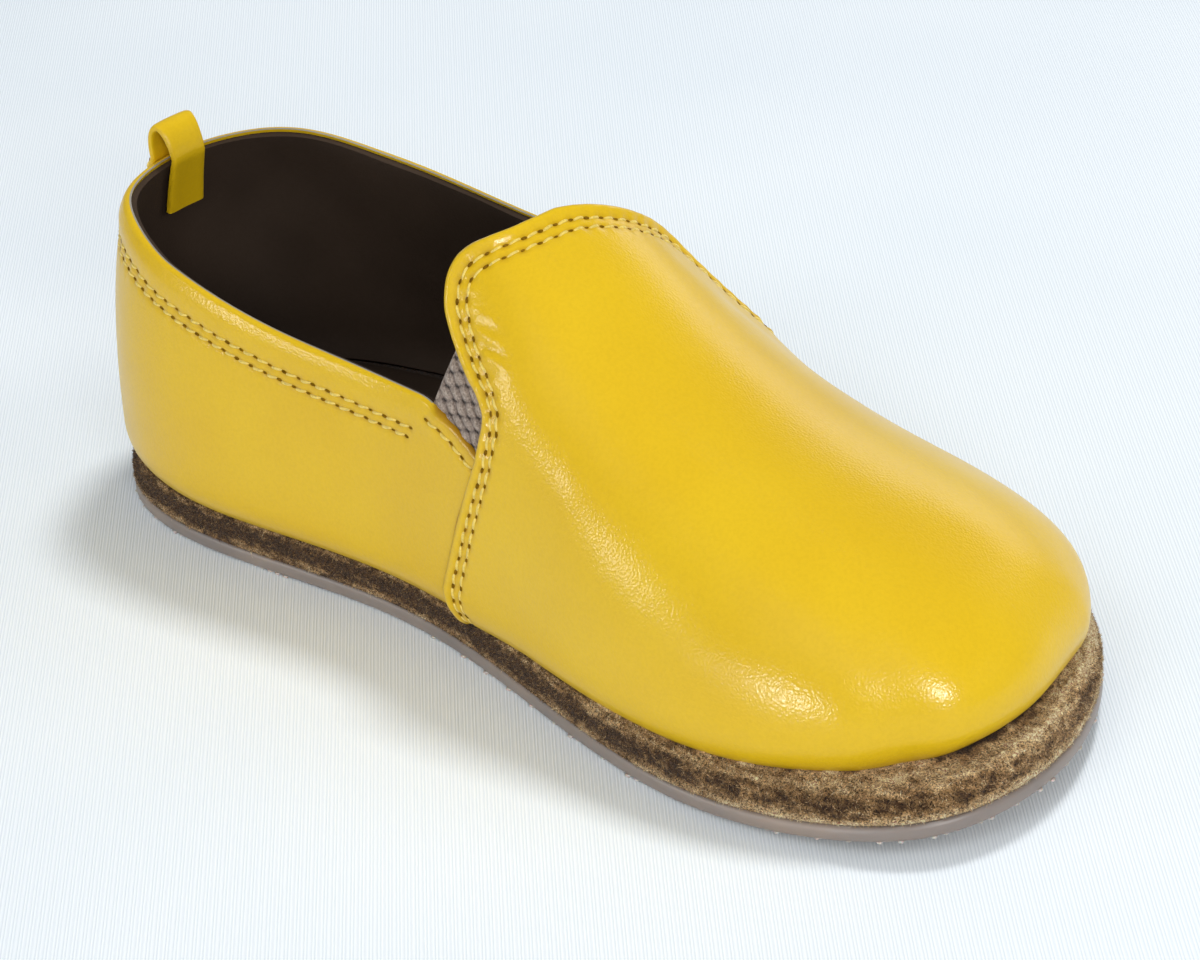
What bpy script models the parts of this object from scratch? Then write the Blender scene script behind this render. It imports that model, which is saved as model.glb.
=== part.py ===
"""Left shoe of a pair of children's slip-on leather loafers with elastic side gussets.

Lengths are in metres. +X points to the toe, +Y to the outer side of the foot and +Z up.
The sole stands on z = 0, and the origin is under the middle of the sole's box.

The shoe is built as it is made: a rubber outsole, a suede midsole whose flange shows all
round, an insole, an upper shaped on a last, an elastic gusset in each side notch, and a pull
tab at the back. Every piece follows from the sole's outline and from one surface, the last.
"""

import math

import bmesh
import bpy
import numpy as np

MM = 0.001

# ---------------------------------------------------------------- driving sizes

OUTSOLE_THICK = 2.3 * MM
MIDSOLE_THICK = 4.4 * MM
INSOLE_THICK = 2.0 * MM
GAP = 0.3 * MM            # between pieces that touch
WALL = 1.8 * MM           # leather and its lining
LAP = 0.9 * MM            # how far the front's rear edge stands proud of the back piece
LAP_FADE = 16 * MM        # the raised edge dies away over this distance
ELASTIC_THICK = 1.2 * MM
TOE_SPRING = 4.0 * MM
SPRING_START = 125 * MM   # along the foot, where the sole leaves the ground
WIDEST_UP = 6.0 * MM      # the upper's widest line above its foot
TUCK_START = math.radians(35)
SEAM_REACH = 30 * MM      # the surface's lines follow a side seam's slope this far from it

HEEL_CENTRE = 27 * MM     # ends of the last's ridge line, along the foot
TOE_CENTRE = 136 * MM

# The sole's outline once round, starting at the back of the heel and going by the outer side.
# Millimetres along the foot from the heel, and across it to the outer side.
OUTLINE = (
    # along, across
    (0, 0),
    (7, 18.2),
    (23, 25.5),
    (55, 28.5),
    (88, 31.7),
    (120, 37.3),
    (145, 32.2),
    (161, 20.6),
    (170.5, 6),
    (174.6, -11),
    (169.5, -27.5),
    (155, -35.2),
    (134, -37.3),
    (103, -31.2),
    (72, -24.6),
    (40, -25.6),
    (21, -24.8),
    (7, -18.2),
)

# The suede flange from the sole's edge to the upper's foot, and how far the upper then swells
# out over it, on the inner and on the outer side of the foot. Millimetres.
FLANGE = {
    "along": (0, 40, 65, 90, 106, 120, 142, 158, 168, 175),
    "inner": (3.0, 0.5, 0.5, 0.8, 1.3, 1.9, 3.7, 6.2, 7.8, 5.4),
    "outer": (3.0, 1.8, 1.8, 2.0, 3.2, 3.6, 3.5, 3.0, 3.4, 4.4),
}
SWELL = {
    "along": (0, 45, 75, 100, 130, 160, 175),
    "inner": (2.4, 3.2, 2.8, 2.2, 2.0, 2.6, 2.8),
    "outer": (2.4, 2.8, 2.4, 1.8, 1.4, 1.8, 2.8),
}

# The last: height of its ridge over the ground, place of the ridge across the foot, and the
# shape of each side. Going out from the ridge, its height falls as (1 - out ** round) ** fall:
# a higher round keeps the top flat for longer, and a higher fall leaves less of a shoulder.
LAST = {
    "along": (0, 30, 60, 84, 96, 110, 124, 136, 148, 160, 175),
    "ridge_up": (68, 68, 67.5, 65, 59.8, 50.4, 42.6, 38.4, 35.8, 33.4, 31.0),
    "ridge_across": (0, 0, -3, -6, -8, -11, -12.5, -13, -13, -13, -13),
    "inner_round": (2.7, 2.7, 2.8, 2.9, 2.8, 2.4, 2.2, 2.1, 2.2, 2.3, 2.3),
    "outer_round": (2.7, 2.7, 2.5, 2.2, 2.0, 1.9, 1.9, 1.9, 1.9, 2.0, 2.1),
    "inner_fall": (0.5, 0.5, 0.5, 0.5, 0.5, 0.5, 0.5, 0.5, 0.5, 0.5, 0.5),
    "outer_fall": (0.5, 0.5, 0.5, 0.55, 0.72, 0.82, 0.84, 0.77, 0.66, 0.57, 0.52),
}

# The back piece's top edge over the ground, from the heel to the corner of the side notch.
COLLAR = {
    "along": (0, 12, 30, 55, 72, 84),
    "up": (50.0, 49.4, 46.0, 41.8, 40.6, 40.6),
}

# Each side of the opening: the notch's corner and its lowest point, with the seam's foot and
# the elastic's highest point. The tongue's edge is then given in plan, from that lowest point to
# the middle of the tongue.
SIDES = {
    "inner": {
        "turn": -1,
        "corner_along": 83 * MM,
        "notch": (93.4 * MM, 35.8 * MM),
        "seam_foot": 84.5 * MM,
        "elastic_top": (86.8 * MM, 49.4 * MM),
        "tongue": (
            (94.2, -27.0), (92.8, -26.2), (90.6, -25.5), (88.2, -24.6), (85.8, -23.4),
            (84.0, -22.0), (83.4, -20.4), (83.9, -18.9), (85.3, -17.2), (87.2, -15.2),
            (88.8, -12.6), (89.5, -9.4),
        ),
    },
    "outer": {
        "turn": 1,
        "corner_along": 92 * MM,
        "notch": (100.4 * MM, 35.0 * MM),
        "seam_foot": 91 * MM,
        "elastic_top": (93.6 * MM, 46.0 * MM),
        "tongue": (
            (100.6, 24.2), (98.6, 22.8), (95.8, 21.0), (93.2, 19.4), (91.3, 17.6),
            (90.8, 14.6), (91.2, 9.6), (91.2, 4.4), (90.6, -0.6),
        ),
    },
}
TONGUE_MIDDLE = (89.8, -5.2)

# How far the elastic is tucked in behind the leather, along and up, past the notch's corner, its
# lowest point and the elastic's own highest point.
ELASTIC_TUCK = {
    "corner": (-1.5 * MM, -3.5 * MM),
    "below": (-1.5 * MM, -4.8 * MM),
    "ahead": (4.6 * MM, 2.2 * MM),
    "top": (1.5 * MM, 3.2 * MM),
}

# The pull tab: a strip folded over the collar, with a loop above it that leans back.
TAB_WIDE = 9.5 * MM
TAB_THICK = 1.2 * MM
TAB_DOWN = 9.0 * MM
TAB_LOOP = 5.0 * MM
TAB_LEAN = 0.12           # the loop's lean backwards, for each millimetre up
TAB_CLEAR = 0.55 * MM     # from the wall, measured level; the wall leans, so the gap is less

# How finely the surfaces are cut.
BACK_COLUMNS = 18
NOTCH_COLUMNS = 4
FRONT_COLUMNS = 22
UPPER_ROWS = 15
OUTLINE_POINTS = 96
FINE = 400


# ---------------------------------------------------------------- curves

def closed_curve(points, count):
    """A smooth closed curve through the points, as `count` points along it."""
    points = np.asarray(points, float)
    size = len(points)
    after = np.roll(points, -1, axis=0)
    step = np.linalg.norm(after - points, axis=1)
    before_step = np.roll(step, 1)
    slope_now = (after - points) / step[:, None]
    slope_before = np.roll(slope_now, 1, axis=0)
    matrix = np.zeros((size, size))
    for row in range(size):
        matrix[row, row - 1] = 1 / before_step[row]
        matrix[row, row] = 2 / before_step[row] + 2 / step[row]
        matrix[row, (row + 1) % size] = 1 / step[row]
    right = 3 * (slope_before / before_step[:, None] + slope_now / step[:, None])
    tangent = np.linalg.solve(matrix, right)
    start = np.concatenate([[0], np.cumsum(step)])
    at = np.linspace(0, start[-1], count, endpoint=False)
    which = np.searchsorted(start, at, side="right") - 1
    part = ((at - start[which]) / step[which])[:, None]
    following = (which + 1) % size
    length = step[which][:, None]
    return (
        (1 + 2 * part) * (1 - part) ** 2 * points[which]
        + part * (1 - part) ** 2 * length * tangent[which]
        + part ** 2 * (3 - 2 * part) * points[following]
        + part ** 2 * (part - 1) * length * tangent[following]
    )


def smooth(table, column, along):
    """The table's column at a place along the foot, rounded between its rows."""
    knots = np.array(table["along"], float) * MM
    values = np.array(table[column], float)
    slopes = np.gradient(values, knots)
    along = np.clip(along, knots[0], knots[-1])
    which = np.clip(np.searchsorted(knots, along, side="right") - 1, 0, len(knots) - 2)
    step = knots[which + 1] - knots[which]
    part = (along - knots[which]) / step
    return (
        (1 + 2 * part) * (1 - part) ** 2 * values[which]
        + part * (1 - part) ** 2 * step * slopes[which]
        + part ** 2 * (3 - 2 * part) * values[which + 1]
        + part ** 2 * (part - 1) * step * slopes[which + 1]
    )


def resample(path, fractions):
    """Points at the given fractions of a path's length."""
    path = np.asarray(path)
    steps = np.linalg.norm(np.diff(path, axis=0), axis=1)
    run = np.concatenate([[0], np.cumsum(steps)])
    at = np.asarray(fractions) * run[-1]
    return np.column_stack([np.interp(at, run, path[:, axis]) for axis in range(path.shape[1])])


def normals_of(outline):
    """Unit vectors that point out of a closed outline that runs anticlockwise from above."""
    tangent = np.roll(outline, -1, axis=0) - np.roll(outline, 1, axis=0)
    tangent = tangent / np.linalg.norm(tangent, axis=1)[:, None]
    return np.column_stack([tangent[:, 1], -tangent[:, 0]])


def inset(outline, depth):
    """The outline moved inwards by a depth that may change along it."""
    return outline - normals_of(outline) * np.broadcast_to(depth, len(outline))[:, None]


# ---------------------------------------------------------------- sole plan

def sole_outline():
    """The sole's edge from above, anticlockwise from the back of the heel, box at the origin."""
    plan = closed_curve(OUTLINE, FINE * 4)[::-1] * MM
    plan = np.roll(plan, 1, axis=0)
    middle = (plan.min(axis=0) + plan.max(axis=0)) / 2
    return plan - middle, middle[0]


SOLE_EDGE, HALF_LENGTH = sole_outline()


def along_of(x):
    """Place along the foot from the back of the heel."""
    return x + HALF_LENGTH


def by_side(table, x, y):
    """A table's inner or outer column, whichever side of the foot the point is on."""
    inner = smooth(table, "inner", along_of(x))
    outer = smooth(table, "outer", along_of(x))
    side = np.clip(0.5 + y / (24 * MM), 0, 1)
    return (inner + (outer - inner) * side) * MM


def lift(x):
    """Rise of the sole's underside: flat to the ball of the foot, then the toe spring."""
    past = (along_of(x) - SPRING_START) / (2 * HALF_LENGTH - SPRING_START)
    return TOE_SPRING * np.clip(past, 0, 1) ** 2


FLANGE_WIDTH = by_side(FLANGE, SOLE_EDGE[:, 0], SOLE_EDGE[:, 1])
SWELL_WIDTH = by_side(SWELL, SOLE_EDGE[:, 0], SOLE_EDGE[:, 1])
FOOT_LINE = inset(SOLE_EDGE, FLANGE_WIDTH)
WIDEST_LINE = inset(SOLE_EDGE, FLANGE_WIDTH - SWELL_WIDTH)
FOOT_UP = OUTSOLE_THICK + MIDSOLE_THICK + 2 * GAP


# ---------------------------------------------------------------- the last

def ridge_across(x):
    return smooth(LAST, "ridge_across", along_of(x)) * MM


def ridge_point(x):
    """The nearest point of the ridge line, seen from above."""
    spine = np.clip(x, HEEL_CENTRE - HALF_LENGTH, TOE_CENTRE - HALF_LENGTH)
    return spine, ridge_across(spine)


def reach_tables():
    """How far the widest line is from the ridge: by x on each side, by angle round each end."""
    x, y = WIDEST_LINE.T
    spine, across = ridge_point(x)
    reach = np.hypot(x - spine, y - across)
    angle = np.arctan2(y - across, x - spine)
    tables = {}
    for name, on_side in (("inner", y < across), ("outer", y > across)):
        order = np.argsort(x[on_side])
        tables[name] = x[on_side][order], reach[on_side][order]
    toe = x > TOE_CENTRE - HALF_LENGTH
    heel = x < HEEL_CENTRE - HALF_LENGTH
    for name, on_end, turned in (("toe", toe, angle), ("heel", heel, angle % math.tau)):
        order = np.argsort(turned[on_end])
        tables[name] = turned[on_end][order], reach[on_end][order]
    return tables


REACH = reach_tables()


def outwardness(x, y):
    """0 on the ridge, 1 on the widest line, with the side of the foot as -1 to 1."""
    spine, across = ridge_point(x)
    distance = np.hypot(x - spine, y - across)
    angle = np.arctan2(y - across, x - spine)
    inner = np.interp(x, *REACH["inner"])
    outer = np.interp(x, *REACH["outer"])
    toe = np.interp(angle, *REACH["toe"])
    heel = np.interp(angle % math.tau, *REACH["heel"])
    reach = np.where(y < across, inner, outer)
    reach = np.where(x > TOE_CENTRE - HALF_LENGTH, toe, reach)
    reach = np.where(x < HEEL_CENTRE - HALF_LENGTH, heel, reach)
    return distance / reach, np.sin(angle)


def side_shape(x, side):
    """The last's round and fall at a place along the foot, for a side from -1 to 1."""
    shape = []
    for name in ("round", "fall"):
        inner = smooth(LAST, "inner_" + name, along_of(x))
        outer = smooth(LAST, "outer_" + name, along_of(x))
        shape.append(inner + (outer - inner) * (1 + side) / 2)
    return shape


def widest_up(x):
    return FOOT_UP + lift(x) + WIDEST_UP


def last_up(x, y):
    """Height of the last over the ground above its widest line."""
    out, side = outwardness(x, y)
    rounding, fall = side_shape(x, side)
    low = widest_up(x)
    high = smooth(LAST, "ridge_up", along_of(x)) * MM
    return low + (high - low) * np.clip(1 - out ** rounding, 0, 1) ** fall


def out_at(x, up, side):
    """How far out, from 0 to 1, the last is at this height."""
    rounding, fall = side_shape(x, side)
    low = widest_up(x)
    high = smooth(LAST, "ridge_up", along_of(x)) * MM
    share = np.clip((up - low) / (high - low), 0, 1)
    return (1 - share ** (1 / fall)) ** (1 / rounding)


def beyond_last(points):
    """Below 0 inside the last and above 0 outside it, for points over its widest line."""
    x, y, up = points.T
    out, side = outwardness(x, y)
    rounding, fall = side_shape(x, side)
    low = widest_up(x)
    high = smooth(LAST, "ridge_up", along_of(x)) * MM
    share = np.clip((up - low) / (high - low), 0, 1)
    return out ** rounding + share ** (1 / fall) - 1


def last_normals(points):
    """Unit vectors square to the last, for points over its widest line."""
    step = 0.05 * MM
    slope = np.column_stack([
        beyond_last(points + move) - beyond_last(points - move) for move in np.eye(3) * step
    ])
    return slope / np.linalg.norm(slope, axis=1)[:, None]


def wall_point(x, up, turn):
    """Plan of the last's side wall at a place along the foot and a height."""
    reach = np.interp(x, *REACH["inner" if turn < 0 else "outer"])
    across = ridge_across(x)
    return np.column_stack([x, across + turn * reach * out_at(x, up, float(turn))])


# ---------------------------------------------------------------- the upper's columns

def side_line(turn):
    """Indices of the widest line along one side of the foot, from the heel to the toe."""
    x, y = WIDEST_LINE.T
    size = len(x)
    toe = int(np.argmin(np.where(x > 0, np.abs(y - ridge_across(x)), size)))
    if turn < 0:
        return np.arange(toe + 1)
    return np.arange(size, toe - 1, -1) % size


def line_part(turn, start_x, end_x, count, include_end):
    """Evenly spaced indices of the widest line between two places along one side."""
    order = side_line(turn)
    x = WIDEST_LINE[order, 0]
    low = int(np.argmax(x >= start_x)) if start_x > x[0] else 0
    high = int(np.argmax(x >= end_x)) if end_x < x[-1] else len(order) - 1
    steps = np.linalg.norm(np.diff(WIDEST_LINE[order[low:high + 1]], axis=0), axis=1)
    run = np.concatenate([[0], np.cumsum(steps)])
    at = np.linspace(0, run[-1], count, endpoint=include_end)
    return order[low + np.clip(np.searchsorted(run, at), 0, len(run) - 1)]


def collar_top(index):
    """Where the ray from the ridge through a point of the widest line meets the collar."""
    x, y = WIDEST_LINE[index].T
    spine, across = ridge_point(x)
    side = np.sin(np.arctan2(y - across, x - spine))
    up = smooth(COLLAR, "up", along_of(x)) * MM
    out = out_at(spine, up, side)
    return np.column_stack([spine + (x - spine) * out, across + (y - across) * out])


def side_columns(side):
    """Feet on the widest line and tops on the opening's edge, from the heel to the toe."""
    turn = side["turn"]
    heel_x = -HALF_LENGTH
    seam_x = side["seam_foot"] - HALF_LENGTH
    corner_x = side["corner_along"] - HALF_LENGTH
    corner_foot_x = seam_x - 11 * MM

    back_feet = line_part(turn, heel_x, corner_foot_x, BACK_COLUMNS, False)
    back_tops = collar_top(line_part(turn, heel_x, corner_x, BACK_COLUMNS, False))

    notch_x, notch_up = side["notch"]
    notch_x = notch_x - HALF_LENGTH
    corner_up = smooth(COLLAR, "up", side["corner_along"]) * MM
    share = np.linspace(0, 1, NOTCH_COLUMNS + 1)
    notch_feet = line_part(turn, corner_foot_x, seam_x, NOTCH_COLUMNS + 1, True)
    notch_tops = wall_point(
        corner_x + (notch_x - corner_x) * share,
        corner_up + (notch_up - corner_up) * share,
        turn,
    )

    front_feet = line_part(turn, seam_x, HALF_LENGTH, FRONT_COLUMNS + 1, True)[1:]
    tongue = np.array(side["tongue"] + (TONGUE_MIDDLE,)) * MM - (HALF_LENGTH, 0)
    edge = np.vstack([notch_tops[-1], tongue])
    front_tops = resample(edge, np.linspace(0, 1, FRONT_COLUMNS + 1))[1:]

    feet = np.concatenate([back_feet, notch_feet, front_feet])
    tops = np.vstack([back_tops, notch_tops, front_tops])
    return feet, tops, BACK_COLUMNS + NOTCH_COLUMNS


def column(foot, top, side):
    """One line up the last: out of the flange, round the swell and on to the opening."""
    turn = np.linspace(TUCK_START, math.pi / 2, FINE // 10)
    inward = (1 - np.sin(turn)) / (1 - math.sin(TUCK_START))
    rise = (math.cos(TUCK_START) - np.cos(turn)) / math.cos(TUCK_START)
    low, wide = FOOT_LINE[foot], WIDEST_LINE[foot]
    tuck = wide + (low - wide) * inward[:, None]
    ground = FOOT_UP + lift(wide[0])
    tuck = np.column_stack([tuck, ground + WIDEST_UP * rise])

    # Over the last the line is straight from above, and beside a seam it is straight from the side.
    run = np.linspace(0, 1, FINE)
    plan = wide + (top - wide) * run[:, None] ** 2
    above = np.column_stack([plan, last_up(plan[:, 0], plan[:, 1])])
    x = wide[0] + (top[0] - wide[0]) * run
    up = above[0, 2] + (above[-1, 2] - above[0, 2]) * run
    beside = np.column_stack([wall_point(x, up, side["turn"]), up])
    from_seam = abs(along_of(wide[0]) - side["seam_foot"])
    wall = above + (beside - above) * np.clip(1 - from_seam / SEAM_REACH, 0, 1)
    rows = np.linspace(0, 1, UPPER_ROWS) ** 1.35
    return resample(np.vstack([tuck, wall[1:]]), rows)


def upper_grid():
    """The last's surface as closed columns, with each column's distance past its seam."""
    outer_feet, outer_tops, seam = side_columns(SIDES["outer"])
    inner_feet, inner_tops, _ = side_columns(SIDES["inner"])
    outer = [column(foot, top, SIDES["outer"]) for foot, top in zip(outer_feet, outer_tops)]
    inner = [column(foot, top, SIDES["inner"]) for foot, top in zip(inner_feet, inner_tops)]
    grid = np.array(outer + inner[-2:0:-1])
    size = len(outer)
    seams = seam, len(grid) - seam
    return grid, size, seams


def grid_normals(grid):
    """Outward unit normals of the upper's grid, whose columns close on themselves."""
    round_it = np.roll(grid, -1, axis=0) - np.roll(grid, 1, axis=0)
    up_it = np.gradient(grid, axis=1)
    normal = np.cross(round_it, up_it)
    normal = normal / np.linalg.norm(normal, axis=2)[:, :, None]
    normal = normal * np.sign((normal[:, 1] * (grid[:, 1] - grid.mean(axis=(0, 1)))).sum())
    over = grid[:, :, 2] > widest_up(grid[:, :, 0]) + 0.5 * MM
    normal[over] = last_normals(grid[over])
    return normal


# ---------------------------------------------------------------- meshes

def leather_shell(name, outside, inside, closed, material):
    """A closed solid between two grids of columns, with a rim along every open edge."""
    columns, rows = outside.shape[:2]
    form = bmesh.new()
    outer = [[form.verts.new(point) for point in line] for line in outside]
    inner = [[form.verts.new(point) for point in line] for line in inside]
    spans = range(columns) if closed else range(columns - 1)
    for this in spans:
        following = (this + 1) % columns
        for row in range(rows - 1):
            corners = (this, row), (following, row), (following, row + 1), (this, row + 1)
            form.faces.new([outer[c][r] for c, r in corners])
            form.faces.new([inner[c][r] for c, r in reversed(corners)])
        for row in (0, rows - 1):
            form.faces.new((outer[this][row], outer[following][row],
                            inner[following][row], inner[this][row]))
    if not closed:
        for this in (0, columns - 1):
            for row in range(rows - 1):
                form.faces.new((outer[this][row], outer[this][row + 1],
                                inner[this][row + 1], inner[this][row]))
    return finished(name, form, material)


def stacked_rings(name, rings, material):
    """A closed solid from rings one above the other, with a cap on the first and the last."""
    form = bmesh.new()
    lines = [[form.verts.new(point) for point in ring] for ring in rings]
    size = len(lines[0])
    for low, high in zip(lines, lines[1:]):
        for this in range(size):
            following = (this + 1) % size
            form.faces.new((low[this], low[following], high[following], high[this]))
    for line in (lines[0], lines[-1]):
        add_cap(form, line)
    return finished(name, form, material)


def add_cap(form, ring):
    """Bands across a ring that runs once round the foot, so that the cap can bend with it."""
    half = len(ring) // 2
    one_side = ring[:half + 1]
    other_side = [ring[0]] + ring[:half - 1:-1]
    for low in range(half):
        corners = one_side[low], one_side[low + 1], other_side[low + 1], other_side[low]
        form.faces.new(tuple(dict.fromkeys(corners)))


def finished(name, form, material):
    """The form as an object in the shoe's collection, welded, facing out and smooth."""
    bmesh.ops.remove_doubles(form, verts=form.verts, dist=0.001 * MM)
    bmesh.ops.recalc_face_normals(form, faces=form.faces)
    mesh = bpy.data.meshes.new(name)
    form.to_mesh(mesh)
    form.free()
    mesh.shade_smooth()
    mesh.set_sharp_from_angle(angle=math.radians(40))
    mesh.materials.append(material)
    piece = bpy.data.objects.new(name, mesh)
    SHOE.objects.link(piece)
    return piece


def plain_material(name, color, roughness):
    material = bpy.data.materials.new(name)
    material.use_nodes = True
    shader = material.node_tree.nodes["Principled BSDF"]
    shader.inputs["Base Color"].default_value = (*color, 1)
    shader.inputs["Roughness"].default_value = roughness
    return material


# ---------------------------------------------------------------- the pieces

def ring(plan, up):
    """A level line over the sole plan, raised by the toe spring."""
    return np.column_stack([plan, up + lift(plan[:, 0])])


def even_ring(plan):
    """OUTLINE_POINTS places of a fine outline, with one at the heel and one at the toe."""
    half = OUTLINE_POINTS // 2
    toe = int(np.argmax(plan[:, 0]))
    first = resample(plan[:toe + 1], np.linspace(0, 1, half + 1))
    second = resample(np.vstack([plan[toe:], plan[:1]]), np.linspace(0, 1, half + 1))
    return np.vstack([first[:-1], second[:-1]])


def make_outsole():
    rubber = plain_material("rubber", (0.36, 0.27, 0.21), 0.45)
    edge = even_ring(SOLE_EDGE)
    softened = even_ring(inset(SOLE_EDGE, 0.5 * MM))
    rings = [ring(softened, 0), ring(edge, 0.5 * MM), ring(edge, OUTSOLE_THICK)]
    stacked_rings("outsole", rings, rubber)


def make_midsole():
    """Suede whose side slopes in to a rounded shoulder, level under the upper's foot."""
    suede = plain_material("suede", (0.17, 0.11, 0.065), 0.95)
    bottom = OUTSOLE_THICK + GAP
    profile = (
        # share of the flange's width inwards, share of the thickness up
        (0.05, 0.0),
        (0.02, 0.45),
        (0.14, 0.75),
        (0.34, 0.94),
        (0.58, 1.0),
    )
    rings = [
        ring(even_ring(inset(SOLE_EDGE, FLANGE_WIDTH * inwards)), bottom + MIDSOLE_THICK * up)
        for inwards, up in profile
    ]
    stacked_rings("midsole", rings, suede)


def make_insole():
    """A thin sock that fills the foot of the upper, a little dished."""
    leather = plain_material("insole_leather", (0.035, 0.024, 0.018), 0.7)
    clear = WALL + 2 * GAP
    edge = inset(FOOT_LINE, clear)
    inner_edge = inset(FOOT_LINE, clear + 0.6 * MM)
    rings = [
        ring(even_ring(edge), FOOT_UP),
        ring(even_ring(edge), FOOT_UP + 0.7 * INSOLE_THICK),
        ring(even_ring(inner_edge), FOOT_UP + INSOLE_THICK),
    ]
    stacked_rings("insole", rings, leather)


def make_upper():
    """One hollow wall: the front laps over the back piece at each side seam, as a step."""
    leather = plain_material("leather", (0.76, 0.46, 0.03), 0.4)
    grid, toe, seams = upper_grid()
    normals = grid_normals(grid)
    level = normals[:, 0] * (1, 1, 0)
    normals[:, 0] = level / np.linalg.norm(level, axis=1)[:, None]
    inside = grid - normals * WALL

    outside_lines, inside_lines = [], []
    for index in range(len(grid)):
        past = min(abs(index - seams[0]), abs(index - seams[1]))
        in_front = seams[0] <= index <= seams[1]
        if index in seams:
            halves = (0, 1) if index == seams[0] else (1, 0)
        else:
            halves = (1 if in_front else 0,)
        for raised in halves:
            seam = grid[seams[0] if index <= toe else seams[1]]
            away = np.linalg.norm(grid[index] - seam, axis=1) if past else np.zeros(UPPER_ROWS)
            height = raised * LAP * np.clip(1 - away / LAP_FADE, 0, 1)
            outside_lines.append(grid[index] + normals[index] * height[:, None])
            inside_lines.append(inside[index])
    leather_shell("upper", np.array(outside_lines), np.array(inside_lines), True, leather)


def make_gusset(name, side):
    """Elastic behind a side notch, held between the back piece and the front."""
    elastic = plain_material("elastic", (0.38, 0.30, 0.25), 0.9)
    turn = side["turn"]
    corner = np.array([side["corner_along"], smooth(COLLAR, "up", side["corner_along"]) * MM])
    low = np.array(side["notch"])
    back = corner + ELASTIC_TUCK["corner"]
    front = np.array(side["elastic_top"]) + ELASTIC_TUCK["top"]
    tip_back = low + ELASTIC_TUCK["below"]
    tip_front = low + ELASTIC_TUCK["ahead"]
    across = np.linspace(0, 1, 7)[:, None, None]
    up = np.linspace(0, 1, 9)[None, :, None]
    back_edge = tip_back * (1 - up) + back * up
    front_edge = tip_front * (1 - up) + front * up
    flat = back_edge * (1 - across) + front_edge * across
    x = flat[:, :, 0] - HALF_LENGTH
    plan = wall_point(x.ravel(), flat[:, :, 1].ravel(), turn)
    grid = np.dstack([plan.reshape(*x.shape, 2), flat[:, :, 1]])
    normal = np.cross(np.gradient(grid, axis=0), np.gradient(grid, axis=1))
    normal = normal / np.linalg.norm(normal, axis=2)[:, :, None]
    normal = normal * np.sign((normal[:, :, 1] * turn).sum())
    outside = grid - normal * (WALL + GAP)
    inside = grid - normal * (WALL + GAP + ELASTIC_THICK)
    leather_shell(name, outside, inside, False, elastic)


def make_pull_tab():
    """Two plies down the wall at the heel, one outside and one inside, and a loop over it."""
    leather = plain_material("tab_leather", (0.72, 0.42, 0.03), 0.45)
    collar = smooth(COLLAR, "up", 0) * MM
    half = WALL / 2 + TAB_CLEAR + TAB_THICK / 2
    ply = np.linspace(-TAB_DOWN, 0, 7)
    turn = np.linspace(0, math.pi, 13)[1:-1]
    # Distance out from the middle of the wall, and height over the collar.
    away = np.concatenate([np.full(7, half), half * np.cos(turn), np.full(7, -half)])
    over = np.concatenate([ply, TAB_LOOP * np.sin(turn), ply[::-1]])
    away = away + TAB_LEAN * np.clip(over, 0, None)

    centre = np.array(ridge_point(-HALF_LENGTH))
    outside, inside = [], []
    for across in np.linspace(-TAB_WIDE / 2, TAB_WIDE / 2, 5):
        reach = np.interp(math.pi - across / HEEL_CENTRE, *REACH["heel"])
        wall = reach * out_at(centre[0], np.clip(collar + over, 0, collar), 0.0)
        path = np.column_stack([wall - WALL / 2 + away, collar + over])
        along = np.gradient(path, axis=0)
        along = along / np.linalg.norm(along, axis=1)[:, None]
        square = np.column_stack([along[:, 1], -along[:, 0]]) * TAB_THICK / 2
        for line, half_ply in ((outside, square), (inside, -square)):
            radial, up = (path + half_ply).T
            line.append(np.column_stack([
                centre[0] - radial * math.cos(across / HEEL_CENTRE),
                centre[1] + radial * math.sin(across / HEEL_CENTRE),
                up,
            ]))
    leather_shell("heel_pull_tab", np.array(outside), np.array(inside), False, leather)


def main():
    for piece in list(bpy.data.objects):
        bpy.data.objects.remove(piece, do_unlink=True)
    bpy.context.scene.collection.children.link(SHOE)
    make_outsole()
    make_midsole()
    make_insole()
    make_upper()
    make_gusset("gusset_inner", SIDES["inner"])
    make_gusset("gusset_outer", SIDES["outer"])
    make_pull_tab()


SHOE = bpy.data.collections.new("childs_slip_on_loafer_left")
main()
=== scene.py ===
"""Looks of a child's left slip-on loafer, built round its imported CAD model.

Lengths are in metres. +X points to the toe, +Y to the outer side of the foot and +Z up.
The upper's pieces lie on the same last as the CAD upper, so its tables are repeated here.
"""

import math

import bmesh
import bpy
import numpy as np
from mathutils import Matrix, Vector, noise
from mathutils.bvhtree import BVHTree


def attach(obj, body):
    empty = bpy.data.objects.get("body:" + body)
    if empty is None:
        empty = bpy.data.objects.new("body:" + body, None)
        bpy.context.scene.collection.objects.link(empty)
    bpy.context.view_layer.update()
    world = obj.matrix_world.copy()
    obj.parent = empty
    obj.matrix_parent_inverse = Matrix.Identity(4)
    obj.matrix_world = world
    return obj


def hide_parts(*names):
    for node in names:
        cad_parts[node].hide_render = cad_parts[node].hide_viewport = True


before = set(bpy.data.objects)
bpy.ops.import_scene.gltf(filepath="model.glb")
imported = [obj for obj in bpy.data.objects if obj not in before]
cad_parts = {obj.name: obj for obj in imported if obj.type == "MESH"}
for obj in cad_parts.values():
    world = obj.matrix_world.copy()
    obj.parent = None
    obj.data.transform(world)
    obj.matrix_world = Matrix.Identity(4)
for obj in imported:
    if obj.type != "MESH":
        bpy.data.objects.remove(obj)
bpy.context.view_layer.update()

MM = 0.001
RNG = np.random.default_rng(7)

# ------------ sizes of the CAD model

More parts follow.
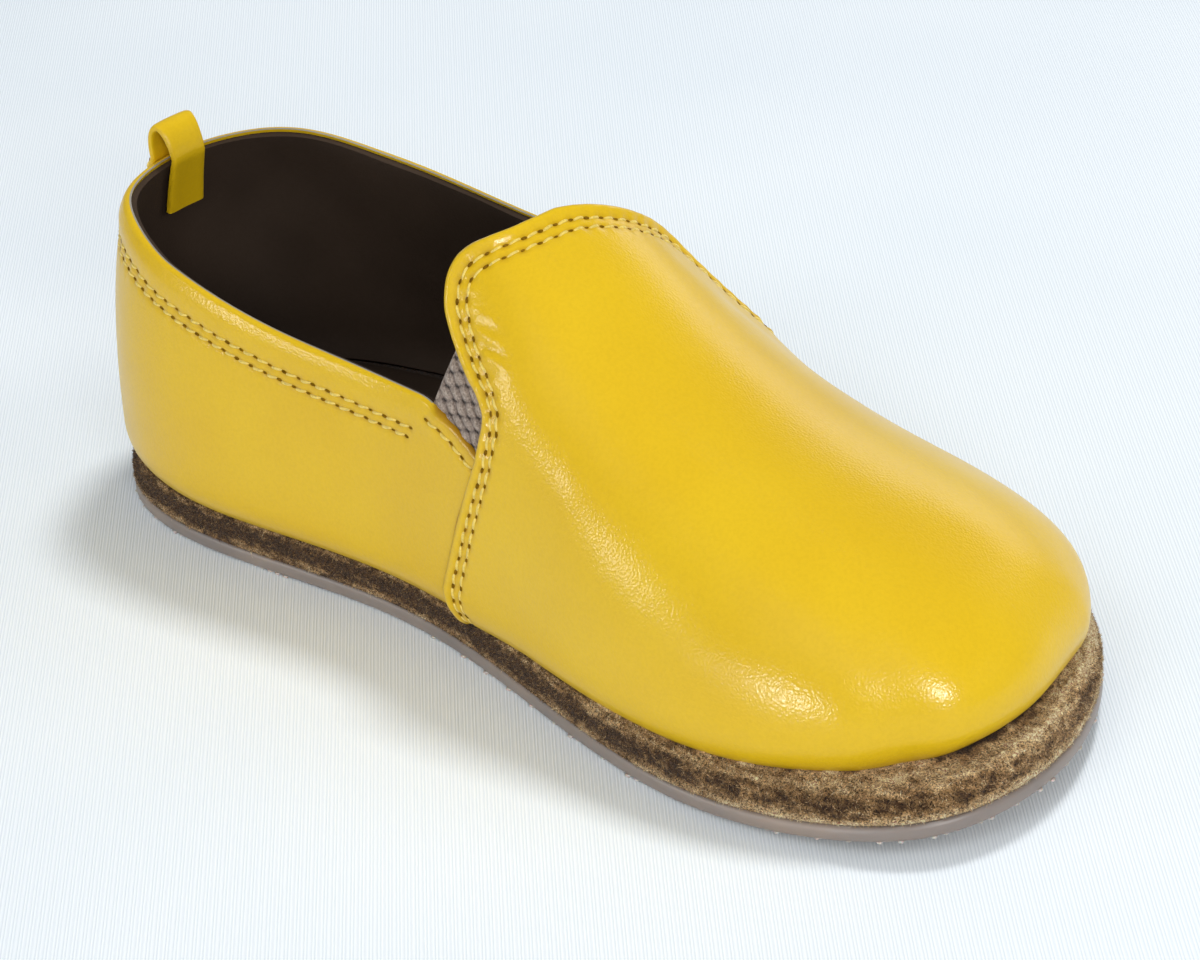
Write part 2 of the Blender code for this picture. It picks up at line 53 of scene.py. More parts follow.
OUTSOLE_THICK = 2.3 * MM
MIDSOLE_THICK = 4.4 * MM
GAP = 0.3 * MM
WALL = 1.8 * MM
LAP = 0.9 * MM
LAP_FADE = 16 * MM
TOE_SPRING = 4.0 * MM
SPRING_START = 125 * MM
WIDEST_UP = 6.0 * MM
TUCK_START = math.radians(35)
SEAM_REACH = 30 * MM
HEEL_CENTRE = 27 * MM
TOE_CENTRE = 136 * MM

# The sole's outline: millimetres along the foot from the heel, and across to the outer side.
OUTLINE = (
    (0, 0), (7, 18.2), (23, 25.5), (55, 28.5), (88, 31.7), (120, 37.3), (145, 32.2),
    (161, 20.6), (170.5, 6), (174.6, -11), (169.5, -27.5), (155, -35.2), (134, -37.3),
    (103, -31.2), (72, -24.6), (40, -25.6), (21, -24.8), (7, -18.2),
)
FLANGE = {
    "along": (0, 40, 65, 90, 106, 120, 142, 158, 168, 175),
    "inner": (3.0, 0.5, 0.5, 0.8, 1.3, 1.9, 3.7, 6.2, 7.8, 5.4),
    "outer": (3.0, 1.8, 1.8, 2.0, 3.2, 3.6, 3.5, 3.0, 3.4, 4.4),
}
SWELL = {
    "along": (0, 45, 75, 100, 130, 160, 175),
    "inner": (2.4, 3.2, 2.8, 2.2, 2.0, 2.6, 2.8),
    "outer": (2.4, 2.8, 2.4, 1.8, 1.4, 1.8, 2.8),
}
LAST = {
    "along": (0, 30, 60, 84, 96, 110, 124, 136, 148, 160, 175),
    "ridge_up": (68, 68, 67.5, 65, 59.8, 50.4, 42.6, 38.4, 35.8, 33.4, 31.0),
    "ridge_across": (0, 0, -3, -6, -8, -11, -12.5, -13, -13, -13, -13),
    "inner_round": (2.7, 2.7, 2.8, 2.9, 2.8, 2.4, 2.2, 2.1, 2.2, 2.3, 2.3),
    "outer_round": (2.7, 2.7, 2.5, 2.2, 2.0, 1.9, 1.9, 1.9, 1.9, 2.0, 2.1),
    "inner_fall": (0.5, 0.5, 0.5, 0.5, 0.5, 0.5, 0.5, 0.5, 0.5, 0.5, 0.5),
    "outer_fall": (0.5, 0.5, 0.5, 0.55, 0.72, 0.82, 0.84, 0.77, 0.66, 0.57, 0.52),
}
COLLAR = {
    "along": (0, 12, 30, 55, 72, 84),
    "up": (50.0, 49.4, 46.0, 41.8, 40.6, 40.6),
}
SIDES = {
    "inner": {
        "turn": -1,
        "corner_along": 83 * MM,
        "notch": (93.4 * MM, 35.8 * MM),
        "seam_foot": 84.5 * MM,
        "elastic_top": (86.8 * MM, 49.4 * MM),
        "tongue": (
            (94.2, -27.0), (92.8, -26.2), (90.6, -25.5), (88.2, -24.6), (85.8, -23.4),
            (84.0, -22.0), (83.4, -20.4), (83.9, -18.9), (85.3, -17.2), (87.2, -15.2),
            (88.8, -12.6), (89.5, -9.4),
        ),
    },
    "outer": {
        "turn": 1,
        "corner_along": 92 * MM,
        "notch": (100.4 * MM, 35.0 * MM),
        "seam_foot": 91 * MM,
        "elastic_top": (93.6 * MM, 46.0 * MM),
        "tongue": (
            (100.6, 24.2), (98.6, 22.8), (95.8, 21.0), (93.2, 19.4), (91.3, 17.6),
            (90.8, 14.6), (91.2, 9.6), (91.2, 4.4), (90.6, -0.6),
        ),
    },
}
TONGUE_MIDDLE = (89.8, -5.2)
ELASTIC_TUCK = {
    "corner": (-1.5 * MM, -3.5 * MM),
    "below": (-1.5 * MM, -4.8 * MM),
    "ahead": (4.6 * MM, 2.2 * MM),
    "top": (1.5 * MM, 3.2 * MM),
}
TAB_WIDE = 9.5 * MM
TAB_THICK = 1.2 * MM
TAB_DOWN = 9.0 * MM
TAB_LOOP = 5.0 * MM
TAB_LEAN = 0.12
TAB_CLEAR = 0.55 * MM

# ------------ sizes of the details

LEATHER_THICK = 1.25 * MM
QUARTER_THICK = 0.85 * MM
EDGE_ROUND = 1.1 * MM          # radius of the leather's folded edges
RELIEF_START = 0.8 * MM        # reliefs fade out this near to an edge
STITCH_STEP = 2.8 * MM
THREAD_RADIUS = 0.27 * MM
HOLE_LONG = 0.48 * MM
HOLE_WIDE = 0.24 * MM
# The vamp's two stitch rows in from its edge, from the outer seam's foot over the tongue to
# the inner seam's foot.
VAMP_ROWS = {
    "share": (0, 0.22, 0.34, 0.5, 0.66, 0.78, 1),
    "first": (2.5, 2.3, 2.9, 3.1, 2.9, 2.3, 2.5),
    "second": (3.9, 3.4, 4.5, 4.9, 4.5, 3.4, 3.9),
}
COLLAR_ROWS_IN = (5.4 * MM, 7.0 * MM)    # stitch rows down from the topline
NOTCH_ROW_IN = 2.5 * MM
KNIT_WIDE = 2.1 * MM
KNIT_TALL = 1.95 * MM
KNIT_HIGH = 0.34 * MM
KNIT_SLANT = math.radians(-14)
ELASTIC_IN = 0.80 * MM         # the elastic lies between leather and lining
DOT_STEP = 1.6 * MM
SUEDE_PLACES = 1500            # points round the suede's side
SUEDE_LEVELS = 34              # points up it
FIBRES = 38000                 # fibres of its nap
FIBRE_RADIUS = 0.070 * MM
CLOTH_SLANT = math.radians(-44)

FINE = 400                     # points in a smooth line
RELAX_MARGIN = 10 * MM         # strip along the vamp's edge that isn't evened out
CORNER_FOOT_BACK = 11 * MM     # the quarter's corner stands on a foot this far behind the seam's
# Lengths that turn the shares of the vamp's columns into steps, at their feet and their tops.
FEET_LONG = 125 * MM
TOPS_LONG = 62 * MM


# ------------ curves

def cubic(part, step, value, slope, next_value, next_slope):
    """Places between two knots, on a curve that passes them with the slopes given."""
    return (
        (1 + 2 * part) * (1 - part) ** 2 * value
        + part * (1 - part) ** 2 * step * slope
        + part ** 2 * (3 - 2 * part) * next_value
        + part ** 2 * (part - 1) * step * next_slope
    )


def closed_curve(points, count):
    """A smooth closed curve through the points, as `count` points along it."""
    points = np.asarray(points, float)
    leg = np.roll(points, -1, axis=0) - points
    step = np.linalg.norm(leg, axis=1)[:, None]
    slope = leg / step
    step_before, slope_before = np.roll(step, 1, axis=0), np.roll(slope, 1, axis=0)
    own = np.eye(len(points))
    matrix = (np.roll(own, -1, axis=1) / step_before + own * (2 / step_before + 2 / step)
              + np.roll(own, 1, axis=1) / step)
    tangent = np.linalg.solve(matrix, 3 * (slope_before / step_before + slope / step))
    start = summed(step)
    at = np.linspace(0, start[-1], count, endpoint=False)
    which = np.searchsorted(start, at, side="right") - 1
    part = (at - start[which])[:, None] / step[which]
    after = (which + 1) % len(points)
    return cubic(part, step[which], points[which], tangent[which], points[after], tangent[after])


def hermite(knots, values, at):
    """Values between the knots, rounded over them."""
    slopes = np.gradient(values, knots, axis=0)
    at = np.clip(at, knots[0], knots[-1])
    which = np.clip(np.searchsorted(knots, at, side="right") - 1, 0, len(knots) - 2)
    after = which + 1
    step = knots[after] - knots[which]
    part = (at - knots[which]) / step
    if values.ndim > 1:
        part, step = part[:, None], step[:, None]
    return cubic(part, step, values[which], slopes[which], values[after], slopes[after])


def smooth(table, column, along):
    """The table's column at a place along the foot, rounded between its rows."""
    return hermite(np.array(table["along"], float) * MM, np.array(table[column], float), along)


def unit(vectors):
    """The vectors made 1 long."""
    return vectors / np.linalg.norm(vectors, axis=-1, keepdims=True)


def run_of(path):
    """Length along a path at each of its points."""
    return summed(np.linalg.norm(np.diff(path, axis=0), axis=1))


def summed(steps):
    """The sum of the steps before each place, from 0 on."""
    return np.concatenate([[0], np.cumsum(steps)])


def even_places(cost):
    """The running sum of the costs of steps, and even places along it, at most 1 apart."""
    passed = summed(cost)
    return passed, np.linspace(0, passed[-1], int(math.ceil(passed[-1])) + 1)


def even_out(values, times):
    """The values smoothed along the first axis, with both ends kept."""
    for _ in range(times):
        values[1:-1] = (values[:-2] + 2 * values[1:-1] + values[2:]) / 4
    return values


def resample(path, fractions):
    """Points at the given fractions of a path's length."""
    path = np.asarray(path)
    run = run_of(path)
    at = np.asarray(fractions) * run[-1]
    return np.column_stack([np.interp(at, run, path[:, axis]) for axis in range(path.shape[1])])


def graded(length, start, end, most, growth=0.05):
    """Fractions of a length, with steps that grow from both ends up to the longest."""
    at = np.linspace(0, length, 3000)
    step = np.minimum(most, np.minimum(start + growth * at, end + growth * (length - at)))
    passed, places = even_places(np.diff(at) / step[1:])
    return np.interp(places, passed, at) / length


def soft_path(points, count=FINE):
    """A smooth open curve through the points."""
    points = np.asarray(points, float)
    run = run_of(points)
    return hermite(run, points, np.linspace(0, run[-1], count))


def normals_of(outline):
    """Unit vectors that point out of a closed outline that runs anticlockwise from above."""
    tangent = unit(np.roll(outline, -1, axis=0) - np.roll(outline, 1, axis=0))
    return np.column_stack([tangent[:, 1], -tangent[:, 0]])


def inset(outline, depth):
    """The outline moved inwards by a depth that may change along it."""
    return outline - normals_of(outline) * np.broadcast_to(depth, len(outline))[:, None]


# ------------ sole plan and last

def sole_outline():
    """The sole's edge from above, anticlockwise from the back of the heel, box at the origin."""
    plan = closed_curve(OUTLINE, FINE * 12)[::-1] * MM
    plan = np.roll(plan, 1, axis=0)
    middle = (plan.min(axis=0) + plan.max(axis=0)) / 2
    return plan - middle, middle[0]


SOLE_EDGE, HALF_LENGTH = sole_outline()


def along_of(x):
    return x + HALF_LENGTH


def across_foot(table, name, x, share):
    """A column at a place along the foot, from its inner value (0) to its outer one (1)."""
    inner, outer = (smooth(table, side + name, along_of(x)) for side in ("inner", "outer"))
    return inner + (outer - inner) * share


def by_side(table, x, y):
    """A table's inner or outer column, whichever side of the foot the point is on."""
    return across_foot(table, "", x, np.clip(0.5 + y / (24 * MM), 0, 1)) * MM


def lift(x):
    """Rise of the sole's underside: flat to the ball of the foot, then the toe spring."""
    past = (along_of(x) - SPRING_START) / (2 * HALF_LENGTH - SPRING_START)
    return TOE_SPRING * np.clip(past, 0, 1) ** 2


FLANGE_WIDTH = by_side(FLANGE, SOLE_EDGE[:, 0], SOLE_EDGE[:, 1])
SWELL_WIDTH = by_side(SWELL, SOLE_EDGE[:, 0], SOLE_EDGE[:, 1])
FOOT_LINE = inset(SOLE_EDGE, FLANGE_WIDTH)
WIDEST_LINE = inset(SOLE_EDGE, FLANGE_WIDTH - SWELL_WIDTH)
FOOT_UP = OUTSOLE_THICK + MIDSOLE_THICK + 2 * GAP


def ridge_across(x):
    return smooth(LAST, "ridge_across", along_of(x)) * MM


def from_ridge(x, y):
    """Seen from above: the ridge's nearest place, and the distance and angle from there."""
    spine = np.clip(x, HEEL_CENTRE - HALF_LENGTH, TOE_CENTRE - HALF_LENGTH)
    across = ridge_across(spine)
    return spine, across, np.hypot(x - spine, y - across), np.arctan2(y - across, x - spine)


def reach_tables():
    """How far the widest line is from the ridge: by x on each side, by angle round each end."""
    x, y = WIDEST_LINE.T
    _, across, reach, angle = from_ridge(x, y)
    tables = {}
    for name, chosen, place in (
            ("inner", y < across, x), ("outer", y > across, x),
            ("toe", x > TOE_CENTRE - HALF_LENGTH, angle),
            ("heel", x < HEEL_CENTRE - HALF_LENGTH, angle % math.tau)):
        order = np.argsort(place[chosen])
        tables[name] = place[chosen][order], reach[chosen][order]
    return tables


REACH = reach_tables()


def outwardness(x, y):
    """0 on the ridge, 1 on the widest line, with the side of the foot as -1 to 1."""
    _, across, distance, angle = from_ridge(x, y)
    reach = np.where(y < across, np.interp(x, *REACH["inner"]), np.interp(x, *REACH["outer"]))
    toe, heel = np.interp(angle, *REACH["toe"]), np.interp(angle % math.tau, *REACH["heel"])
    reach = np.where(x > TOE_CENTRE - HALF_LENGTH, toe, reach)
    reach = np.where(x < HEEL_CENTRE - HALF_LENGTH, heel, reach)
    return distance / reach, np.sin(angle)


def last_shape(x, side):
    """The last's round, fall, lowest and highest at a place, for a side from -1 to 1."""
    rounding, fall = (across_foot(LAST, name, x, (1 + side) / 2) for name in ("_round", "_fall"))
    return rounding, fall, widest_up(x), smooth(LAST, "ridge_up", along_of(x)) * MM


def widest_up(x):
    """Height of the last's widest line."""
    return FOOT_UP + lift(x) + WIDEST_UP


def last_up(x, y):
    """Height of the last over the ground above its widest line."""
    out, side = outwardness(x, y)
    rounding, fall, low, high = last_shape(x, side)
    return low + (high - low) * np.clip(1 - out ** rounding, 0, 1) ** fall


def out_at(x, up, side):
    """How far out, from 0 to 1, the last is at this height."""
    rounding, fall, low, high = last_shape(x, side)
    share = np.clip((up - low) / (high - low), 0, 1)
    return (1 - share ** (1 / fall)) ** (1 / rounding)


def beyond_last(points):
    """Below 0 inside the last and above 0 outside it, for points over its widest line."""
    x, y, up = points.T
    out, side = outwardness(x, y)
    rounding, fall, low, high = last_shape(x, side)
    return out ** rounding + np.clip((up - low) / (high - low), 0, None) ** (1 / fall) - 1


def last_normals(points):
    """Unit vectors square to the last, for points over its widest line."""
    moves = np.eye(3) * 0.05 * MM
    return unit(np.column_stack([
        beyond_last(points + move) - beyond_last(points - move) for move in moves]))


def wall_point(x, up, turn):
    """Plan of the last's side wall at a place along the foot and a height."""
    reach = np.interp(x, *REACH["inner" if turn < 0 else "outer"])
    across = ridge_across(x)
    return np.column_stack([x, across + turn * reach * out_at(x, up, float(turn))])


# ------------ grids on the last

def walk(turn, start_x, end_x, fractions):
    """Points of the widest line and of the foot line, between two places along one side."""
    size = len(WIDEST_LINE)
    x, y = WIDEST_LINE.T
    toe = int(np.argmin(np.where(x > 0, np.abs(y - ridge_across(x)), size)))
    order = np.arange(toe + 1) if turn < 0 else np.arange(size, toe - 1, -1) % size
    x = x[order]
    low = int(np.argmax(x >= start_x)) if start_x > x[0] else 0
    high = int(np.argmax(x >= end_x)) if end_x < x[-1] else len(order) - 1
    order = order[low:high + 1]
    run = run_of(WIDEST_LINE[order])
    at = np.asarray(fractions) * run[-1]
    return [
        np.column_stack([np.interp(at, run, line[order, axis]) for axis in (0, 1)])
        for line in (WIDEST_LINE, FOOT_LINE)
    ]


def corner_of(side):
    """The quarter's corner over the V, along the foot and up."""
    return np.array([side["corner_along"], smooth(COLLAR, "up", side["corner_along"]) * MM])


def collar_top(wide):
    """Where the ray from the ridge through a point of the widest line meets the collar."""
    x, y = wide.T
    spine, across, _, angle = from_ridge(x, y)
    out = out_at(spine, smooth(COLLAR, "up", along_of(x)) * MM, np.sin(angle))
    return np.column_stack([spine + (x - spine) * out, across + (y - across) * out])


def feet_and_tops(side, part, fractions):
    """Feet, widest points and tops of the columns of one part: back, notch or front."""
    turn = side["turn"]
    corner, notch = corner_of(side), np.array(side["notch"])
    seam_x = side["seam_foot"] - HALF_LENGTH
    corner_foot_x = seam_x - CORNER_FOOT_BACK
    if part == "back":
        wide, foot = walk(turn, -HALF_LENGTH, corner_foot_x, fractions)
        tops = collar_top(walk(turn, -HALF_LENGTH, corner[0] - HALF_LENGTH, fractions)[0])
    elif part == "notch":
        wide, foot = walk(turn, corner_foot_x, seam_x, fractions)
        along, up = (corner + (notch - corner) * fractions[:, None]).T
        tops = wall_point(along - HALF_LENGTH, up, turn)
    else:
        feet, top_shares = fractions
        wide, foot = walk(turn, seam_x, HALF_LENGTH, feet)
        low = wall_point(notch[:1] - HALF_LENGTH, notch[1], turn)
        tongue = np.array(side["tongue"] + (TONGUE_MIDDLE,)) * MM - (HALF_LENGTH, 0)
        tops = resample(soft_path(np.vstack([low, tongue])), top_shares)
    return wide, foot, tops


def column(wide, low, top, side, rows):
    """One line up the last: out of the flange, round the swell and on to the opening."""
    turn = np.linspace(TUCK_START, math.pi / 2, FINE // 10)
    inward = (1 - np.sin(turn)) / (1 - math.sin(TUCK_START))
    rise = (math.cos(TUCK_START) - np.cos(turn)) / math.cos(TUCK_START)
    tuck = np.column_stack([wide + (low - wide) * inward[:, None],
                            FOOT_UP + lift(wide[0]) + WIDEST_UP * rise])
    run = np.linspace(0, 1, FINE)
    plan = wide + (top - wide) * run[:, None] ** 2
    above = np.column_stack([plan, last_up(*plan.T)])
    up = above[0, 2] + (above[-1, 2] - above[0, 2]) * run
    beside = wall_point(wide[0] + (top[0] - wide[0]) * run, up, side["turn"])
    beside = np.column_stack([beside, up])
    from_seam = abs(along_of(wide[0]) - side["seam_foot"])
    wall = above + (beside - above) * np.clip(1 - from_seam / SEAM_REACH, 0, 1)
    return resample(np.vstack([tuck, wall[1:]]), rows)


def part_grid(side, part, fractions, rows):
    """The columns of one part, each as points from its foot up."""
    wide, foot, tops = feet_and_tops(side, part, fractions)
    return np.array([column(w, f, t, side, rows) for w, f, t in zip(wide, foot, tops)])


def grid_normals(grid):
    """Outward unit normals of a grid of columns on the last."""
    normal = unit(np.cross(np.gradient(grid, axis=0), np.gradient(grid, axis=1)))
    normal = normal * np.sign((normal[:, 1] * (grid[:, 1] - grid.mean(axis=(0, 1)))).sum())
    over = grid[:, :, 2] > widest_up(grid[:, :, 0]) + 0.5 * MM
    normal[over] = last_normals(grid[over])
    return normal


def relaxed(grid, times):
    """The grid evened out, apart from a margin round its edges."""
    from_edge = gap_to(grid, edge_of(grid))
    weight = np.clip(from_edge / RELAX_MARGIN - 0.6, 0, 1)
    weight = (weight * np.clip((grid[:, :, 2] - 14 * MM) / (6 * MM), 0, 1))[:, :, None]
    for _ in range(times):
        padded = np.pad(grid, ((1, 1), (1, 1), (0, 0)), mode="edge")
        around = (padded[:-2, 1:-1] + padded[2:, 1:-1] + padded[1:-1, :-2] + padded[1:-1, 2:]) / 4
        grid = grid + (around - grid) * weight * 0.5
    return grid


def raised(grid, normals, height):
    """The grid moved along its normals."""
    return grid + normals * np.asarray(height)[..., None]


# ------------ distances and reliefs

FOOT_CENTRE = np.array([0.0, -4 * MM, 20 * MM])


def to_path(points, path):
    """Distance from each point to a path, and how far along the path the nearest place is."""
    flat = points.reshape(-1, 3)
    best, at = np.full(len(flat), np.inf), np.zeros(len(flat))
    for first, leg, before in zip(path[:-1], np.diff(path, axis=0), run_of(path)):
        square = (leg ** 2).sum()
        part = np.clip(((flat - first) @ leg) / max(square, 1e-18), 0, 1)
        gap = np.linalg.norm(flat - first - part[:, None] * leg, axis=1)
        near = gap < best
        best[near] = gap[near]
        at[near] = before + part[near] * math.sqrt(square)
    return best.reshape(points.shape[:-1]), at.reshape(points.shape[:-1])


def gap_to(points, path):
    """Distance from each point to a path."""
    return to_path(points, path)[0]


def hump(distance, width):
    """1 at no distance, falling away to 0 over about two widths."""
    return np.exp(-(distance / width) ** 2)


def round_edge(distance, radius, least):
    """How thick a sheet with a rounded edge is, as a share: `least` at the edge itself."""
    return least + (1 - least) * np.sqrt(1 - (1 - np.clip(distance / radius, 0, 1)) ** 2)


def surface_tree(grid):
    """A search tree over a grid's faces."""
    faces = grid_faces(*grid.shape[:2])
    return BVHTree.FromPolygons([tuple(p) for p in grid.reshape(-1, 3)], faces.tolist())


def grid_faces(columns, rows):
    """Faces of a grid of columns whose points lie one after another."""
    this = np.arange(columns - 1)[:, None] * rows
    row = np.arange(rows - 1)
    corners = this + row, this + rows + row, this + rows + row + 1, this + row + 1
    return np.stack(corners, axis=-1).reshape(-1, 4)


def on_surface(tree, points):
    """The nearest places of a surface, with its normals there, which point out of the shoe."""
    found = np.array([tree.find_nearest(Vector(point))[:2] for point in points])
    places, normals = found[:, 0], found[:, 1]
    return places, normals * np.sign((normals * (places - FOOT_CENTRE)).sum(axis=1))[:, None]


def row_in_from(edge, tree, depth):
    """A line on the surface that stays `depth` in from its edge."""
    shares = np.linspace(0, 1, 500)
    edge = resample(edge, shares)
    depth = np.interp(shares, np.linspace(0, 1, np.size(depth)), np.atleast_1d(depth))
    _, normal = on_surface(tree, edge)
    into = np.cross(normal, unit(np.gradient(edge, axis=0)))
    lines = []
    for turn in (1, -1):
        line, _ = on_surface(tree, edge + into * depth[:, None] * turn)
        lines.append(line[gap_to(line, edge) > 0.93 * depth])
    line = even_out(resample(max(lines, key=len), np.linspace(0, 1, 400)), 6)
    return on_surface(tree, line)[0]


def holes_along(row):
    """Needle holes along a row, a whole number of stitches apart."""
    count = max(2, int(round(run_of(row)[-1] / STITCH_STEP)) + 1)
    return resample(row, np.linspace(0, 1, count))


# ------------ meshes

def bands(rings, sides):
    """Faces between closed rings whose points lie one after another."""
    return [(low + k, low + (k + 1) % sides, low + sides + (k + 1) % sides, low + sides + k)
            for low in range(0, (rings - 1) * sides, sides) for k in range(sides)]


def tube_faces(rings, sides):
    """Faces of a tube with both ends capped."""
    last = (rings - 1) * sides
    return bands(rings, sides) + [tuple(range(sides))[::-1], tuple(range(last, last + sides))]


def repeated(faces, size, points):
    """One form's faces, repeated for all the forms of `size` points each."""
    return [tuple(base + corner for corner in face)
            for base in range(0, len(points), size) for face in faces]


def new_object(name, data):
    made = bpy.data.objects.new(name, data)
    bpy.context.collection.objects.link(made)
    return made


def mesh_piece(name, points, faces, materials, face_slots=None, tone=None, flat=False):
    """A mesh object, with an optional material for each face and tone for each point."""
    mesh = bpy.data.meshes.new(name)
    mesh.from_pydata([tuple(p) for p in points], [], [tuple(f) for f in faces])
    for material in materials:
        mesh.materials.append(material)
    if face_slots is not None:
        mesh.polygons.foreach_set("material_index", np.asarray(face_slots, np.int32))
    if tone is not None:
        layer = mesh.attributes.new("tone", "FLOAT", "POINT")
        layer.data.foreach_set("value", np.asarray(tone, np.float32))
    mesh.validate()
    if not flat:
        mesh.shade_smooth()
    return new_object(name, mesh)


def shell_piece(name, outside, inside, material, rim=None, tone=None):
    """A closed sheet between two grids; `rim` is a material for some of the top edge."""
    columns, rows = outside.shape[:2]
    size = columns * rows
    points = np.concatenate([outside.reshape(-1, 3), inside.reshape(-1, 3)])
    sheet = grid_faces(columns, rows)
    index = np.arange(size).reshape(columns, rows)
    faces = [sheet, sheet[:, ::-1] + size]
    for edge in (index[:, -1], index[::-1, 0], index[0], index[-1, ::-1]):
        faces.append(np.stack([edge[:-1], edge[1:], edge[1:] + size, edge[:-1] + size], axis=1))
    faces = np.concatenate(faces)
    materials, slots = [material], np.zeros(len(faces))
    if rim:
        materials.append(rim[0])
        slots[2 * len(sheet):2 * len(sheet) + columns - 1] = rim[1]
    tones = None if tone is None else np.tile(tone.ravel(), 2)
    piece = mesh_piece(name, points, faces, materials, slots, tones)
    recalculate(piece)
    return piece


def recalculate(piece):
    """Faces turned outwards, and edges over 50 degrees kept sharp."""
    form = bmesh.new()
    form.from_mesh(piece.data)
    bmesh.ops.recalc_face_normals(form, faces=form.faces)
    form.to_mesh(piece.data)
    form.free()
    piece.data.set_sharp_from_angle(angle=math.radians(50))


def stands_for(piece, slot, *nodes):
    """The piece rides on the shoe, and is seen in place of the CAD model's nodes."""
    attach(piece, "root")
    if nodes:
        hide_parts(*nodes)


def circle(sides):
    """Cosines and sines evenly round a circle, as two columns."""
    turn = np.arange(sides)[:, None] * math.tau / sides
    return np.cos(turn), np.sin(turn)


def thread_mesh(rows, tree):
    """Stitches between the needle holes of each row, as short arched lengths of thread."""
    sides, rings = 6, 7
    points = []
    cosine, sine = circle(sides)
    for holes in rows:
        holes, normals = on_surface(tree, holes)
        for start, end, up in zip(holes[:-1], holes[1:], unit(normals[:-1] + normals[1:])):
            along = unit(end - start)
            across = np.cross(up, along)
            up = np.cross(along, across)
            lean = RNG.normal(0, 0.05 * MM)
            for part in np.linspace(0, 1, rings):
                arch = math.sin(math.pi * part)
                centre = start + (end - start) * (0.10 + 0.80 * part)
                centre = centre + up * (-0.16 + 0.28 * arch ** 0.6) * MM
                centre = centre + across * (lean * arch + 0.16 * MM * (2 * part - 1))
                radius = THREAD_RADIUS * (0.45 + 0.55 * arch ** 0.5)
                points.extend(centre + radius * (across * cosine + up * sine))
    return points, repeated(tube_faces(rings, sides), rings * sides, points)


def hole_mesh(rows, tree):
    """Needle holes, stretched along their row: shallow dishes, dark as painted shade in the holes
    and under the thread's ends.
    """
    sides = 10
    points = []
    cosine, sine = circle(sides)
    for holes in rows:
        holes, normals = on_surface(tree, holes)
        for centre, up, along in zip(holes, normals, np.gradient(holes, axis=0)):
            along = unit(along - up * (along @ up))
            across = np.cross(up, along)
            rim = along * HOLE_LONG * cosine + across * HOLE_WIDE * sine
            rim = rim * RNG.uniform(0.7, 1.15)
            for reach, rise in ((1.0, -0.10), (0.9, 0.09)):
                points.extend(centre + reach * rim + up * rise * MM)
            points.append(centre + up * 0.06 * MM)
    dish = [(sides + k, sides + (k + 1) % sides, 2 * sides) for k in range(sides)]
    return points, repeated(tube_faces(2, sides)[:-1] + dish, 2 * sides + 1, points)


# ------------ materials

WHITE = (1.0, 1.0, 1.0)


class Look:
    """A new material, with short ways to add nodes to it."""

    def __init__(self, name, color, roughness, **sockets):
        self.material = bpy.data.materials.new(name)
        self.material.use_nodes = True
        self.nodes = self.material.node_tree.nodes
        self.link = self.material.node_tree.links.new
        self.fill(self.nodes["Principled BSDF"], Base_Color=(*color, 1), Roughness=roughness,
                  **sockets)

    def fill(self, node, **sockets):
        """Each named input linked to another node's output, or set to a value."""
        for name, value in sockets.items():
            socket = node.inputs[name.replace("_", " ")]
            if isinstance(value, bpy.types.NodeSocket):
                self.link(value, socket)
            else:
                socket.default_value = value
        return node

    def add(self, kind, output, **sockets):
        """A new node with its inputs filled, by one of its outputs."""
        return self.fill(self.nodes.new("ShaderNode" + kind), **sockets).outputs[output]

    def place(self):
        return self.add("TexCoord", "Object")

    def tone(self):
        """The tone that the mesh gives each of its points; it carries painted light and shade as
        well as the material's own tones.
        """
        node = self.nodes.new("ShaderNodeAttribute")
        node.attribute_name = "tone"
        return node.outputs["Fac"]

    def noise(self, scale, detail=4.0, roughness=0.5, distortion=0.0):
        return self.add("TexNoise", "Fac", Vector=self.place(), Scale=scale, Detail=detail,
                        Roughness=roughness, Distortion=distortion)

    def ramp(self, source, *stops):
        """A colour ramp from (place, colour) stops."""
        node = self.fill(self.nodes.new("ShaderNodeValToRGB"), Fac=source)
        elements = node.color_ramp.elements
        elements[0].position, elements[1].position = stops[0][0], stops[-1][0]
        for place, _ in stops[1:-1]:
            elements.new(place)
        for element, (_, color) in zip(elements, stops):
            element.color = (*color, 1)
        return node.outputs["Color"]

    def mix(self, kind, factor, *pair):
        """Two colours blended, by the blend's colour."""
        node = self.fill(self.nodes.new("ShaderNodeMix"), Factor=factor)
        node.data_type, node.blend_type = "RGBA", kind
        for source, socket in zip(pair, [each for each in node.inputs if each.type == "RGBA"]):
            self.link(source, socket)
        return [each for each in node.outputs if each.type == "RGBA"][0]

    def bump(self, height, strength, distance, **below):
        return self.add("Bump", "Normal", Height=height, Strength=strength, Distance=distance,
                        **below)

    def finished(self, color, normal, **sockets):
        self.fill(self.nodes["Principled BSDF"], Base_Color=color, Normal=normal, **sockets)
        return self.material


